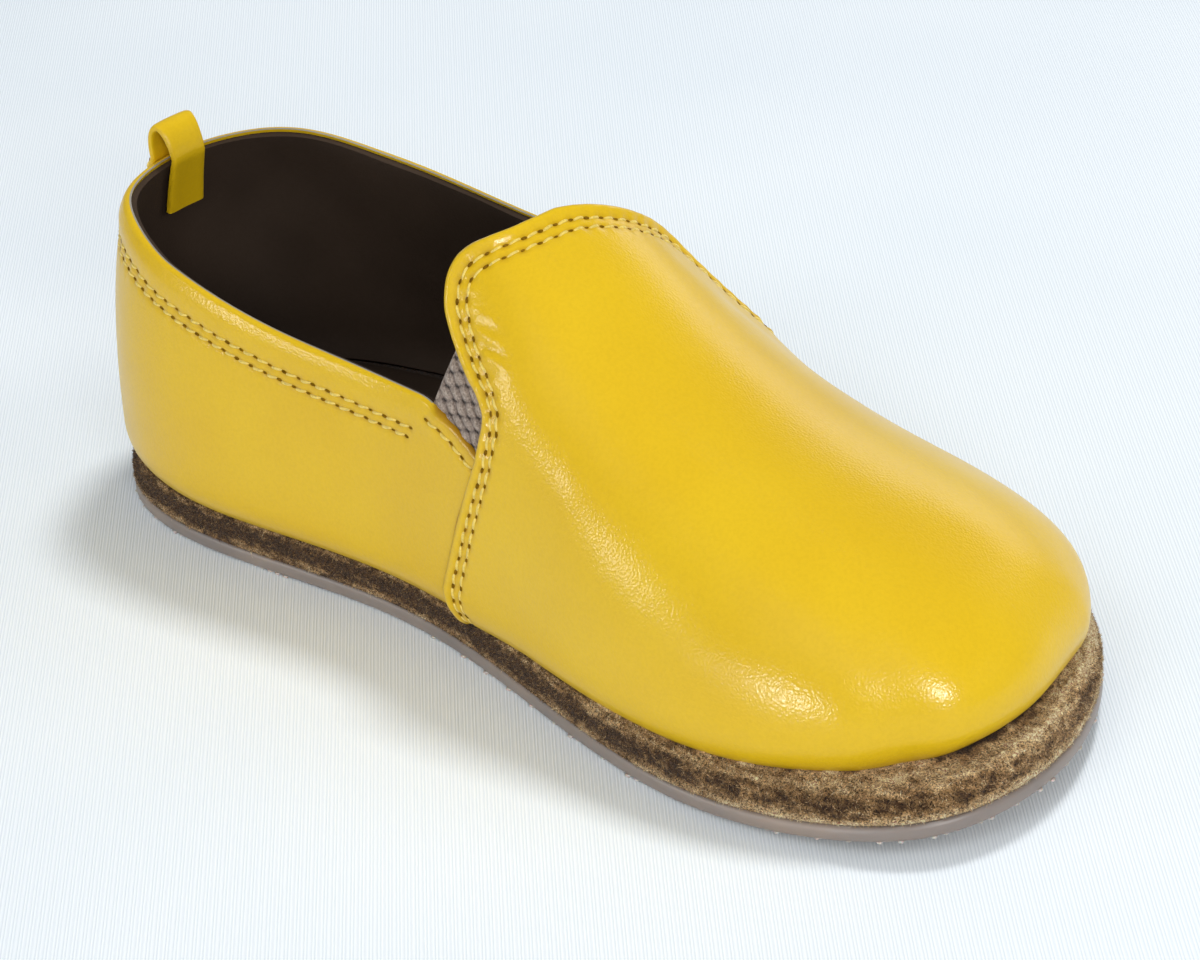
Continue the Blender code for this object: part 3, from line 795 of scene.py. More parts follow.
def leather_material(name, light, deep, roughness=0.38, coat=0.45):
    """Finished leather: a fine pebble grain, tones that change a little over the piece, and painted
    shade where the mesh's tone is high.
    """
    look = Look(name, light, roughness,
                Specular_IOR_Level=0.12, Coat_Weight=coat, Coat_Roughness=0.19)
    patches = look.ramp(look.noise(38, 3), (0.3, deep), (0.7, light))
    # Painted shade: where the mesh's tone is high (stitch grooves, seams, the V's edges, rolled
    # edges), the leather is darkened.
    shade = look.ramp(look.tone(), (0.0, WHITE), (1.0, (0.55, 0.42, 0.22)))
    specks = look.ramp(look.noise(1800, 2), (0.35, (0.72, 0.66, 0.5)), (0.6, WHITE))
    color = look.mix("MULTIPLY", 0.12, look.mix("MULTIPLY", 1.0, patches, shade), specks)
    warped = look.nodes.new("ShaderNodeVectorMath")
    warped.operation = "MULTIPLY_ADD"
    look.link(look.add("TexNoise", "Color", Vector=look.place(), Scale=500), warped.inputs[0])
    warped.inputs[1].default_value = (0.0009, 0.0009, 0.0009)
    look.link(look.place(), warped.inputs[2])
    cells = look.nodes.new("ShaderNodeTexVoronoi")
    cells.feature = "SMOOTH_F1"
    look.fill(cells, Scale=2600, Smoothness=0.6, Vector=warped.outputs["Vector"])
    grain = look.bump(cells.outputs["Distance"], 0.48, 0.00007)
    wrinkles = look.bump(look.noise(2400, 3, 0.55, 0.6), 0.48, 0.000035, Normal=grain)
    uneven = look.add("MapRange", "Result", Value=look.noise(120, 3),
                      To_Min=roughness - 0.06, To_Max=roughness + 0.08)
    return look.finished(color, wrinkles, Coat_Normal=wrinkles, Roughness=uneven)


def suede_material():
    look = Look("brown suede", (0.2, 0.14, 0.09), 0.95,
                Specular_IOR_Level=0.1, Sheen_Weight=0.12, Sheen_Roughness=0.5)
    # The tone's dark end carries the painted shade, and its light end the painted light, of the
    # suede's profile, far side and heel.
    brown = look.ramp(
        look.tone(), (0.0, (0.060, 0.029, 0.011)), (0.35, (0.275, 0.158, 0.066)),
        (0.65, (0.500, 0.345, 0.178)), (1.0, (0.740, 0.600, 0.390)))
    fibres = look.ramp(look.noise(3600, 4, 0.7, 0.8),
                       (0.40, (0.04, 0.04, 0.04)), (0.60, (0.97, 0.95, 0.9)))
    return look.finished(look.mix("OVERLAY", 0.9, brown, fibres),
                         look.bump(look.noise(2600, 5, 0.75), 1.0, 0.0004))


def rubber_material():
    look = Look("translucent rubber", (0.33, 0.26, 0.215), 0.42, Subsurface_Weight=0.35,
                Subsurface_Scale=0.002, Subsurface_Radius=(1.0, 0.6, 0.4))
    color = look.ramp(look.noise(45, 3), (0.32, (0.215, 0.180, 0.162)),
                      (0.52, (0.262, 0.214, 0.183)), (0.72, (0.34, 0.25, 0.19)))
    return look.finished(color, look.bump(look.noise(700, 3), 0.25, 0.0001))


def knit_material():
    look = Look("grey knit elastic", (0.34, 0.28, 0.25), 0.9,
                Specular_IOR_Level=0.2, Sheen_Weight=0.2)
    # The yarn's ramp: its dark end is the painted shade of the knit's hollows and gaps.
    yarn = look.ramp(look.tone(), (0.0, (0.022, 0.012, 0.009)), (0.35, (0.190, 0.136, 0.108)),
                     (1.0, (0.57, 0.465, 0.385)))
    fuzz = look.noise(2600, 3, 0.6, 1.0)
    hairs = look.ramp(fuzz, (0.38, (0.38, 0.34, 0.31)), (0.60, WHITE))
    return look.finished(look.mix("MULTIPLY", 0.8, yarn, hairs), look.bump(fuzz, 1.0, 0.0003))


def mottled_material(name, color, roughness, scale, darker=0.72, **sockets):
    """One colour, mottled with a darker shade of itself."""
    look = Look(name, color, roughness, **sockets)
    spots = look.noise(scale, 2)
    dark = tuple(darker * value for value in color)
    return look.finished(look.ramp(spots, (0.3, dark), (0.7, color)),
                         look.bump(spots, 0.5, 0.0001))


YELLOW = (0.745, 0.480, 0.009)
YELLOW_DEEP = (0.705, 0.437, 0.007)
LEATHER = leather_material("mustard leather", YELLOW, YELLOW_DEEP)
# The lining's dark brown is painted shade for the inside of the shoe; the footbed is made of it
# too.
LINING = leather_material("lining darkened by painted shade", (0.060, 0.040, 0.028), (0.040, 0.026, 0.018),
                          roughness=0.6, coat=0.0)
RAW_EDGE = leather_material("grey raw edge", (0.36, 0.33, 0.28), (0.26, 0.23, 0.19),
                            roughness=0.85, coat=0.0)
SUEDE = suede_material()
RUBBER = rubber_material()
KNIT = knit_material()
THREAD = mottled_material("yellow thread", (0.88, 0.66, 0.13), 0.55, 2600, Sheen_Weight=0.1)
# Painted shade: the needle holes' dark brown stands for the shade down in the holes and under the
# thread's ends.
HOLE_SHADE = mottled_material("needle hole", (0.260, 0.130, 0.008), 0.95, 1500, 0.5,
                       Specular_IOR_Level=0.0)
DOTS = mottled_material("rubber dots", (0.58, 0.52, 0.46), 0.28, 900, 0.85,
                        Subsurface_Weight=0.3, Subsurface_Scale=0.001)


# ------------ the vamp

# The columns' feet leave the seam before their tops leave the notch, so that none crosses it:
# shares of the way from the seam to the toe's tip, and from the notch to the tongue's middle.
FRONT_FEET = (0.00, 0.05, 0.12, 0.20, 0.30, 0.40, 0.55, 0.77, 1.00)
FRONT_TOPS = (0.00, 0.002, 0.006, 0.016, 0.055, 0.13, 0.38, 0.72, 1.00)


def front_fractions():
    """Shares for the feet and the tops of the columns, close together at the seam."""
    feet = np.linspace(0, 1, 4000)
    tops = even_out(np.interp(feet, FRONT_FEET, FRONT_TOPS), 400)
    foot_step = np.minimum(0.9 * MM, 0.2 * MM + 0.05 * FEET_LONG * feet)
    top_step = 0.5 * MM
    passed, places = even_places(np.maximum(
        np.diff(feet) * FEET_LONG / foot_step[1:], np.diff(tops) * TOPS_LONG / top_step))
    return np.interp(places, passed, feet), np.interp(places, passed, tops)


def vamp_base():
    """Columns from the outer side seam, round the toe, to the inner side seam."""
    fractions = front_fractions()
    rows = graded(75 * MM, 0.55 * MM, 0.2 * MM, 1.0 * MM)
    outer, inner = (part_grid(SIDES[name], "front", fractions, rows) for name in ("outer", "inner"))
    grid = relaxed(np.concatenate([outer, inner[-2::-1]]), 30)
    below_top = np.linalg.norm(grid - grid[:, -1:], axis=2)
    upwards = unit(grid[:, -1] - grid[:, -8])
    roll = 0.9 * MM * np.clip((grid[:, -1, 2] - 46 * MM) / (6 * MM), 0, 1)
    roll = roll[:, None] * np.clip(1 - below_top / (10 * MM), 0, 1)
    return raised(grid, upwards[:, None], roll)


def edge_of(grid):
    """A grid's edge from the foot of its first column, over its top, to the last one's foot."""
    return np.concatenate([grid[0], grid[1:-1, -1], grid[-1, ::-1]])


# Soft creases and swellings of the vamp: two ends as millimetres along, across and up, then
# width and height. A height below 0 is a trough.
VAMP_FOLDS = (
    # ends, width, height
    ((90.4, -21.7, 54.3), (92.8, -21.7, 54.2), 0.45, 0.11),
    ((90.8, -22.4, 53.2), (93.6, -22.5, 53.0), 0.45, -0.12),
    ((91.4, -23.0, 52.0), (95.0, -23.0, 51.6), 0.55, 0.17),
    ((92.2, -23.5, 50.9), (95.8, -23.6, 50.4), 0.50, -0.15),
    ((93.2, -24.0, 49.8), (96.8, -24.1, 49.2), 0.55, 0.15),
    ((94.4, -24.6, 48.2), (97.4, -24.7, 47.6), 0.50, -0.10),
    ((99.0, -25.3, 46.8), (110.4, -28.7, 38.0), 6.5, 0.55),
    ((103.0, 18.0, 44.0), (114.0, 25.0, 32.0), 4.0, -0.40),
    ((99.0, 13.0, 52.0), (107.0, 21.0, 40.0), 3.0, -0.25),
    ((126.0, -21.0, 40.1), (140.0, -8.0, 38.0), 10.0, 0.20),
    ((168.0, -16.0, 13.0), (163.0, 14.0, 22.0), 9.0, -0.85),
)


def fold_relief(grid):
    """The heights of the creases and swellings, added up."""
    relief = np.zeros(grid.shape[:2])
    for start, end, width, height in VAMP_FOLDS:
        gap = gap_to(grid, np.array([start, end]) * MM - (HALF_LENGTH, 0, 0))
        relief += height * MM * hump(gap, width * MM)
    return relief


def slow_noise(grid, scale, seed):
    """Noise from about -0.5 to 0.5, with waves of the scale given."""
    shift = Vector((seed, 0, 0))
    flat = [noise.noise(Vector(point) / scale + shift) for point in grid.reshape(-1, 3)]
    return np.array(flat).reshape(grid.shape[:-1])


def stitch_relief(grid, rows):
    """Needle holes along each row, with a groove, a dimple at each hole and small puckers, and
    painted shade along the groove.
    """
    hole_rows = [holes_along(row) for row in rows]
    relief, shade = np.zeros((2, *grid.shape[:2]))
    for row, holes in zip(rows, hole_rows):
        gap, at = to_path(grid, row)
        wave = np.cos(math.tau * at * (len(holes) - 1) / run_of(row)[-1])
        relief -= 0.20 * MM * hump(gap, 0.50 * MM)
        relief -= 0.09 * MM * wave * hump(gap, 1.2 * MM)
        # Painted shade in the groove beside the thread, a little deeper at the holes.
        shade += 0.80 * hump(gap, 0.42 * MM) * (0.65 + 0.35 * wave)
    return hole_rows, relief, shade


def make_vamp():
    """The vamp with its tongue: its needle holes, a tree over it, and its seams' edges."""
    grid = vamp_base()
    normals = grid_normals(grid)
    edge = edge_of(grid)
    from_seam = np.minimum(gap_to(grid, grid[0]), gap_to(grid, grid[-1]))
    from_edge, place = to_path(grid, edge)
    lap = LAP * np.clip(1 - from_seam / LAP_FADE, 0, 1) ** 1.3
    lapped = raised(grid, normals, lap)
    tree = surface_tree(lapped)
    shares = np.linspace(0, 1, 200)
    rows = [
        row_in_from(edge_of(lapped), tree,
                    np.interp(shares, VAMP_ROWS["share"], VAMP_ROWS[name]) * MM)
        for name in ("first", "second")
    ]
    hole_rows, relief, shade = stitch_relief(lapped, rows)
    swelling = 0.34 + 0.50 * hump(place / run_of(edge)[-1] - 0.5, 0.16)
    relief += swelling * MM * hump(from_edge - 1.5 * MM, 0.85 * MM)
    relief += fold_relief(grid) + 0.35 * MM * slow_noise(grid, 28 * MM, 3)
    relief *= np.clip(from_edge / RELIEF_START, 0, 1)
    inner = lap - LEATHER_THICK
    outer = inner + LEATHER_THICK * round_edge(from_edge, EDGE_ROUND, 0.10) + relief
    outside = raised(grid, normals, outer)
    # Painted shade: a little darker right along the rolled edge, where it turns under.
    shade += 0.12 * hump(from_edge, 0.5 * MM)
    vamp = shell_piece("vamp", outside, raised(grid, normals, inner), LEATHER,
                       tone=np.clip(shade, 0, 1))
    stands_for(vamp, "leather", "upper")
    make_lining("vamp_lining", grid, normals, inner, from_seam)
    return hole_rows, surface_tree(outside), grid[0], grid[-1]


# ------------ the quarter

def round_corner(grid, corner, cut=0.5 * MM, reach=3.0 * MM):
    """The columns near a corner of the top edge shortened, so that the corner is rounded."""
    top = run_of(grid[:, -1])
    for place in np.flatnonzero(np.abs(top - top[corner]) < reach):
        away = abs(top[place] - top[corner]) / reach
        run = run_of(grid[place])
        grid[place] = resample(grid[place], run / run[-1] * (1 - cut * (1 - away) ** 2 / run[-1]))


def quarter_base(rows):
    """Columns from the inner side seam, round the heel, to the outer side seam."""
    back = np.linspace(0, 1, 165, endpoint=False)
    notch = graded(12 * MM, 0.5 * MM, 0.25 * MM, 0.5 * MM)
    inner, outer = (
        np.concatenate([part_grid(SIDES[name], "back", back, rows),
                        part_grid(SIDES[name], "notch", notch, rows)])
        for name in ("inner", "outer")
    )
    grid = np.concatenate([inner[::-1], outer[1:]])
    for corner in (len(notch) - 1, len(grid) - len(notch)):
        round_corner(grid, corner)
    return grid, len(notch)


def quarter_rows(grid, notch):
    """Stitch rows: two along the topline, and one down the edge of each V."""
    tree = surface_tree(grid)
    top = grid[:, -1]
    topline = top[notch - 1:-notch + 1]
    rows = []
    for depth in COLLAR_ROWS_IN:
        row = row_in_from(topline, tree, depth)
        from_ends = np.linalg.norm(row - topline[[0, -1], None], axis=2).min(axis=0)
        rows.append(row[from_ends > 1.15 * depth])
    return rows + [row_in_from(edge, tree, NOTCH_ROW_IN) for edge in (top[:notch], top[-notch:])]


def seam_shade(grid, seams):
    """Painted shade along the joint with the vamp, under its lapped edge, darkest in a slit over
    the joint's middle.
    """
    shade = np.zeros(grid.shape[:2])
    for seam in seams:
        gap, at = to_path(grid, seam)
        slit = hump(at / run_of(seam)[-1] - 0.62, 0.07)
        shade += 1.6 * hump(gap, 0.35 * MM) * slit + 0.35 * hump(gap, 0.30 * MM)
    return shade


def make_quarter(seams):
    """The quarter: its needle holes and a tree over it."""
    grid, notch = quarter_base(graded(48 * MM, 0.6 * MM, 0.18 * MM, 0.9 * MM))
    normals = grid_normals(grid)
    hole_rows, relief, shade = stitch_relief(grid, quarter_rows(grid, notch))
    from_top = gap_to(grid, grid[:, -1])
    from_topline = gap_to(grid, grid[notch - 1:-notch + 1, -1])
    relief += 0.42 * MM * hump(from_topline - 2.6 * MM, 1.9 * MM)
    relief += 0.22 * MM * slow_noise(grid, 22 * MM, 9)
    relief *= np.clip(from_top / RELIEF_START, 0, 1)
    radius = np.where(from_topline < from_top + 0.1 * MM, 0.6, 1.0) * MM
    outer = QUARTER_THICK * (round_edge(from_top, radius, 0.35) - 1) + relief
    # Painted shade along the rolled edges of the V, not along the topline; then painted shade along
    # the seams.
    beside_v = np.clip((from_topline - from_top) / (1.5 * MM), 0, 1)
    shade += (0.55 * hump(from_top, 0.55 * MM) + 0.40 * hump(from_top, 1.3 * MM)) * beside_v
    shade += seam_shade(grid, seams)
    outside = raised(grid, normals, outer)
    on_topline = np.zeros(len(grid) - 1)
    on_topline[notch - 1:-notch + 1] = 1
    piece = shell_piece("quarter", outside, raised(grid, normals, -QUARTER_THICK), LEATHER,
                        rim=(RAW_EDGE, on_topline), tone=np.clip(shade, 0, 1))
    stands_for(piece, "leather", "upper")
    from_seam = np.ones(from_top.shape)
    from_seam[:notch + 8] = 0
    from_seam[-notch - 8:] = 0
    make_lining("quarter_lining", grid, normals, np.full(from_top.shape, -QUARTER_THICK), from_seam)
    return hole_rows, surface_tree(outside)


def make_lining(name, grid, normals, leather_inside, from_seam):
    """The lining behind a piece of leather, dark as painted shade inside the shoe, with the elastic
    between them at the seams.
    """
    keep = slice(3, -3, 2), slice(0, -2, 2)
    grid, normals, leather_inside, from_seam = (
        each[keep] for each in (grid, normals, leather_inside, from_seam))
    near = leather_inside - 0.02 * MM
    behind_elastic = -ELASTIC_IN - 0.85 * MM
    near = np.where(from_seam < 8 * MM, np.minimum(near, behind_elastic), near)
    far = np.minimum(near - 0.15 * MM, 0.20 * MM * slow_noise(grid, 9 * MM, 5) - WALL)
    piece = shell_piece(name, raised(grid, normals, near), raised(grid, normals, far), LINING)
    stands_for(piece, "leather", "upper")


# ------------ sole

def ring(line, depth, up, count):
    """Points evenly round a closed line moved inwards, at a height over the sole's underside."""
    plan = inset(line, depth)
    plan = resample(np.vstack([plan, plan[:1]]), np.linspace(0, 1, count, endpoint=False))
    return np.column_stack([plan, up + lift(plan[:, 0])])


def capped_piece(name, rings, material, tone=None):
    """Rings one above the other, with caps of cross bands on the first and the last."""
    levels, count = rings.shape[:2]
    faces = bands(levels, count)
    for base in (0, (levels - 1) * count):
        for k in range(count // 2):
            corners = base + k, base + k + 1, base + (-k - 1) % count, base + -k % count
            faces.append(tuple(dict.fromkeys(corners)))
    piece = mesh_piece(name, rings.reshape(-1, 3), faces, [material], tone=tone)
    recalculate(piece)
    return piece


# The suede's side from the bottom edge, over its ridge, into the crease under the upper:
# share of the flange's width inwards, share of the thickness up, and tone from dark to light.
# The tone paints light and shade as well: lighter on top of the ridge, darkest in the crease
# under the upper.
SUEDE_PROFILE = (
    # in, up, tone
    (0.06, 0.00, 0.50),
    (0.02, 0.06, 0.76),
    (0.00, 0.18, 0.66),
    (0.01, 0.36, 0.34),
    (0.05, 0.56, 0.20),
    (0.13, 0.74, 0.24),
    (0.26, 0.90, 0.50),
    (0.42, 1.00, 0.70),
    (0.58, 1.04, 0.68),
    (0.74, 1.08, 0.62),
    (0.92, 1.14, 0.50),
    (1.12, 1.22, 0.04),
)


def suede_surface():
    """Rings of points over the suede's side, with their tones."""
    profile = np.array(SUEDE_PROFILE) * (1, 1, 0.2)
    inward, up, tone = soft_path(profile, SUEDE_LEVELS).T
    width = np.clip(FLANGE_WIDTH, 1.2 * MM, None)
    rings = [
        ring(SOLE_EDGE, width * depth + 0.1 * MM, OUTSOLE_THICK + GAP + MIDSOLE_THICK * share,
             SUEDE_PLACES)
        for depth, share in zip(inward, up)
    ]
    return np.array(rings), tone[:, None] / 0.2


def make_midsole():
    """The suede, streaked and clumped, with painted light on the far side of the toe and painted
    shade towards the heel.
    """
    rings, tone = suede_surface()
    round_it = np.roll(rings, -1, axis=1) - np.roll(rings, 1, axis=1)
    normal = unit(np.cross(round_it, np.gradient(rings, axis=0)))
    x, y = rings[:, :, 0], rings[:, :, 1]
    run, level = np.meshgrid(np.linspace(0, 450 * MM, SUEDE_PLACES, endpoint=False),
                             np.linspace(0, 23.4 * MM, SUEDE_LEVELS))
    streaks = slow_noise(np.dstack([run, level, 0 * level]), 2.6 * MM, 2)
    clumps = slow_noise(rings, 0.8 * MM, 4)
    patches = slow_noise(rings, 6 * MM, 6)
    hold = np.clip(np.arange(SUEDE_LEVELS) / 2, 0, 1)[:, None]
    rings = raised(rings, normal,
                   (0.10 * streaks + 0.16 * clumps + 0.12 * patches) * hold * MM)
    # Painted light on the far side of the toe, and painted shade over the back of the sole.
    far = np.clip((y + 8 * MM) / (30 * MM), 0, 1)
    toe = np.clip((x - 20 * MM) / (40 * MM), 0, 1)
    heel = np.clip((72 * MM - x) / (60 * MM), 0, 1)
    tone = tone + 0.26 * far * toe - 0.38 * heel
    tone = np.clip(tone + 0.40 * streaks + 0.28 * clumps + 0.30 * patches, 0, 1)
    stands_for(capped_piece("suede_midsole", rings, SUEDE, tone.ravel()), "suede", "midsole")
    make_nap(rings, normal, tone)


def make_nap(rings, normal, tone):
    """Short fibres that stand off the suede, each a slim closed spike."""
    level = RNG.integers(1, SUEDE_LEVELS - 6, FIBRES)
    place = RNG.integers(0, SUEDE_PLACES, FIBRES)
    root, out = rings[level, place], normal[level, place]
    lean = RNG.normal(0, 1, (FIBRES, 3))
    lean = lean - out * (lean * out).sum(axis=1)[:, None]
    tip = raised(root, out, RNG.uniform(0.12, 0.38, FIBRES) * MM)
    tip = raised(tip, lean, RNG.uniform(0.15, 0.50, FIBRES) * MM)
    side = unit(np.cross(out, lean)) * FIBRE_RADIUS
    foot = root - out * 0.05 * MM
    points = np.stack([foot - side, foot + side, foot + np.cross(side, out), tip], axis=1)
    points = points.reshape(-1, 3)
    faces = repeated(((0, 1, 3), (1, 2, 3), (2, 0, 3), (2, 1, 0)), 4, points)
    # Each fibre takes the suede's tone, painted light and shade included, varied at random.
    shades = np.repeat(np.clip(tone[level, place] + RNG.uniform(-0.36, 0.48, FIBRES), 0, 1), 4)
    piece = mesh_piece("suede_nap", points, faces, [SUEDE], tone=shades, flat=True)
    stands_for(piece, "suede", "midsole")


# The rubber's edge and the dots below it, in millimetres.
RUBBER_EDGE = (
    # in, up, wobble
    (0.35, 0.34, 0.00),
    (0.10, 0.44, 0.03),
    (0.00, 0.69, 0.05),
    (0.02, 1.80, 0.10),
    (0.15, 2.20, 0.10),
    (0.45, 2.50, 0.00),
)
DOT_RINGS = (
    # radius, up
    (0.52, 0.44),
    (0.40, 0.18),
    (0.20, 0.00),
)


def make_outsole():
    """The rubber sheet, with a cut edge that wobbles a little."""
    rings = np.array([ring(SOLE_EDGE, depth * MM, up * MM, 1000) for depth, up, _ in RUBBER_EDGE])
    wobble = np.array(RUBBER_EDGE)[:, 2:] * MM
    rings[:, :, 2] += wobble * slow_noise(rings, 4 * MM, 1)
    stands_for(capped_piece("rubber_outsole", rings, RUBBER), "rubber", "outsole")


def dot_centres():
    """A regular lattice of places all over the sole's underside."""
    low, high = SOLE_EDGE.min(axis=0), SOLE_EDGE.max(axis=0)
    line_step = DOT_STEP * math.sin(math.pi / 3)
    centres = [
        (along, low[1] + line * line_step)
        for line in range(int((high[1] - low[1]) / line_step) + 2)
        for along in np.arange(low[0] + (line % 2) * DOT_STEP / 2, high[0], DOT_STEP)
    ]
    centres = np.array(centres)
    return centres[inside_outline(centres, ring(SOLE_EDGE, 0.12 * MM, 0, 500)[:, :2])]


def make_dots():
    """Raised dots under the sheet, which show as nubs along its edge."""
    sides = 6
    cosine, sine = circle(sides)
    centres = dot_centres()
    centres = np.column_stack([centres, lift(centres[:, 0])])[:, None]
    points = np.stack([
        centres + np.column_stack([radius * cosine, radius * sine, np.full(sides, up)]) * MM
        for radius, up in DOT_RINGS
    ], axis=1).reshape(-1, 3)
    # A dot's rings go down, so its faces run the other way round.
    dot = [(face[0], *face[:0:-1]) for face in tube_faces(len(DOT_RINGS), sides)]
    faces = repeated(dot, len(DOT_RINGS) * sides, points)
    stands_for(mesh_piece("sole_dots", points, faces, [DOTS]), "rubber", "outsole")


def inside_outline(points, outline):
    """Whether each point is inside a closed outline."""
    x, y = points[:, 0, None], points[:, 1, None]
    ax, ay = outline.T
    bx, by = np.roll(outline, -1, axis=0).T
    crosses = ((ay > y) != (by > y)) & (x < (bx - ax) * (y - ay) / (by - ay + 1e-15) + ax)
    return crosses.sum(axis=1) % 2 == 1


# The footbed's rolled edge, in millimetres in from the wall and up.
FOOTBED_EDGE = ((0, 0.0), (-0.1, 0.8), (0.3, 1.5), (1.0, 1.9), (2.5, 2.0))


def make_insole():
    """The footbed: a little uneven, with a rolled edge, dark as painted shade inside the shoe."""
    clear = WALL + 2 * GAP
    rings = np.array([ring(FOOT_LINE, clear + depth * MM, FOOT_UP + up * MM, 600)
                      for depth, up in FOOTBED_EDGE])
    rings[1:, :, 2] += 0.2 * MM * slow_noise(rings[1:], 12 * MM, 7)
    stands_for(capped_piece("footbed", rings, LINING), "insole_leather", "insole")


# ------------ elastic and pull tab

def blend(first, second, share):
    return first * (1 - share) + second * share


def gusset_grid(side):
    """The elastic's places along the foot and up, and its points on the last's side wall."""
    notch = np.array(side["notch"])
    across = np.linspace(0, 1, 110)[:, None, None]
    up = np.linspace(0, 1, 150)[None, :, None]
    back = blend(notch + ELASTIC_TUCK["below"], corner_of(side) + ELASTIC_TUCK["corner"], up)
    front = blend(notch + ELASTIC_TUCK["ahead"],
                  np.array(side["elastic_top"]) + ELASTIC_TUCK["top"], up)
    flat = blend(back, front, across)
    along, up = flat.reshape(-1, 2).T
    plan = wall_point(along - HALF_LENGTH, up, side["turn"])
    return flat, np.dstack([plan.reshape(flat.shape), flat[:, :, 1]])


def knit(flat, grid, slope):
    """Height as a share, and tone with painted shade in the hollows, of loops in ribs that slant by
    an angle.
    """
    along, up = flat[:, :, 0], flat[:, :, 1]
    rib = (along * math.cos(slope) + up * math.sin(slope)) / KNIT_WIDE
    loop = (up * math.cos(slope) - along * math.sin(slope)) / KNIT_TALL
    loop = loop + 0.16 * slow_noise(grid, 3 * MM, 11)
    rib = rib + 0.5 * (np.floor(loop) % 2) + 0.40 * (loop % 1)
    rib = rib + 0.22 * slow_noise(grid, 2.5 * MM, 12)
    beside, between = np.abs(np.sin(math.pi * rib)), np.abs(np.sin(math.pi * loop))
    height = beside ** 0.9 * between ** 0.5
    strands = 0.09 * np.cos(math.tau * 4 * rib + 2.0 * loop)
    holes = np.exp(-(beside / 0.42) ** 2 - (between / 0.36) ** 2)
    # The tone paints shade: darker lower on the loops and darkest in the gaps between them, while
    # the strands vary it as the yarn's own ply.
    tone = np.clip(0.42 + 0.50 * height + 0.9 * strands - 1.2 * holes, 0, 1)
    return height * (1 + strands), tone


def make_gusset(name, node, side):
    """Knitted elastic: ribs of small loops, with painted shade in the gaps between them."""
    flat, grid = gusset_grid(side)
    normal = unit(np.cross(np.gradient(grid, axis=0), np.gradient(grid, axis=1)))
    normal = normal * np.sign((normal[:, :, 1] * side["turn"]).sum())
    height, tone = knit(flat, grid, KNIT_SLANT * side["turn"])
    fade = np.clip((1 - np.linspace(0, 1, grid.shape[1])) / 0.02, 0, 1)
    outside = raised(grid, normal, KNIT_HIGH * height * fade - ELASTIC_IN - 0.05 * MM)
    inside = raised(grid, normal, -ELASTIC_IN - 0.8 * MM)
    stands_for(shell_piece(name, outside, inside, KNIT, tone=tone), "elastic", node)


def tab_path():
    """The tab's middle line, as distances away from the wall's middle and over the collar."""
    half = WALL / 2 + TAB_CLEAR + TAB_THICK / 2
    ply = np.linspace(-TAB_DOWN, 0, 16)
    turn = np.linspace(0, math.pi, 25)[1:-1]
    away = np.concatenate([np.full(16, half), half * np.cos(turn), np.full(16, -half)])
    over = np.concatenate([ply, TAB_LOOP * np.sin(turn), ply[::-1]])
    return away + TAB_LEAN * np.clip(over, 0, None), over


def make_pull_tab():
    """Two plies down the wall at the heel, one outside and one inside, and a loop over it."""
    away, over = tab_path()
    collar = smooth(COLLAR, "up", 0) * MM
    heel = HEEL_CENTRE - HALF_LENGTH
    middle = ridge_across(heel)
    outside, inside = [], []
    for share in np.sin(np.linspace(-math.pi / 2, math.pi / 2, 17)):
        turn = share * TAB_WIDE / 2 / HEEL_CENTRE
        thick = TAB_THICK / 2 * (0.35 + 0.65 * math.sqrt(max(0.0, 1 - abs(share) ** 8)))
        reach = np.interp(math.pi - turn, *REACH["heel"])
        wall = reach * out_at(heel, np.clip(collar + over, 0, collar), 0.0)
        path = np.column_stack([wall - WALL / 2 + away, collar + over])
        along = unit(np.gradient(path, axis=0))
        square = np.column_stack([along[:, 1], -along[:, 0]]) * thick
        for line, half_ply in ((outside, square), (inside, -square)):
            radial, up = (path + half_ply).T
            line.append(np.column_stack(
                [heel - radial * math.cos(turn), middle + radial * math.sin(turn), up]))
    outside, inside = np.array(outside), np.array(inside)
    piece = shell_piece("pull_tab", outside, inside, LEATHER, tone=np.zeros(outside.shape[:2]))
    stands_for(piece, "tab_leather", "heel_pull_tab")
    rows = [resample(outside[place, 1:15], np.linspace(0, 1, 5)) for place in (2, -3)]
    return rows, surface_tree(outside)


# ------------ stitching

def make_stitching(name, hole_rows, tree):
    """The thread and the needle holes of some rows, as two pieces."""
    for ending, make_mesh, material in (
            ("_thread", thread_mesh, THREAD), ("_needle_holes", hole_mesh, HOLE_SHADE)):
        points, faces = make_mesh(hole_rows, tree)
        stands_for(mesh_piece(name + ending, points, faces, [material]), "leather")


# ------------ build

vamp_holes, vamp_tree, *vamp_seams = make_vamp()
quarter_holes, quarter_tree = make_quarter(vamp_seams)
make_stitching("vamp", vamp_holes, vamp_tree)
make_stitching("quarter", quarter_holes, quarter_tree)
make_outsole()
make_dots()
make_midsole()
make_insole()
make_gusset("elastic_inner", "gusset_inner", SIDES["inner"])
make_gusset("elastic_outer", "gusset_outer", SIDES["outer"])
tab_holes, tab_tree = make_pull_tab()
make_stitching("pull_tab", tab_holes, tab_tree)


# ------------ floor, light and camera

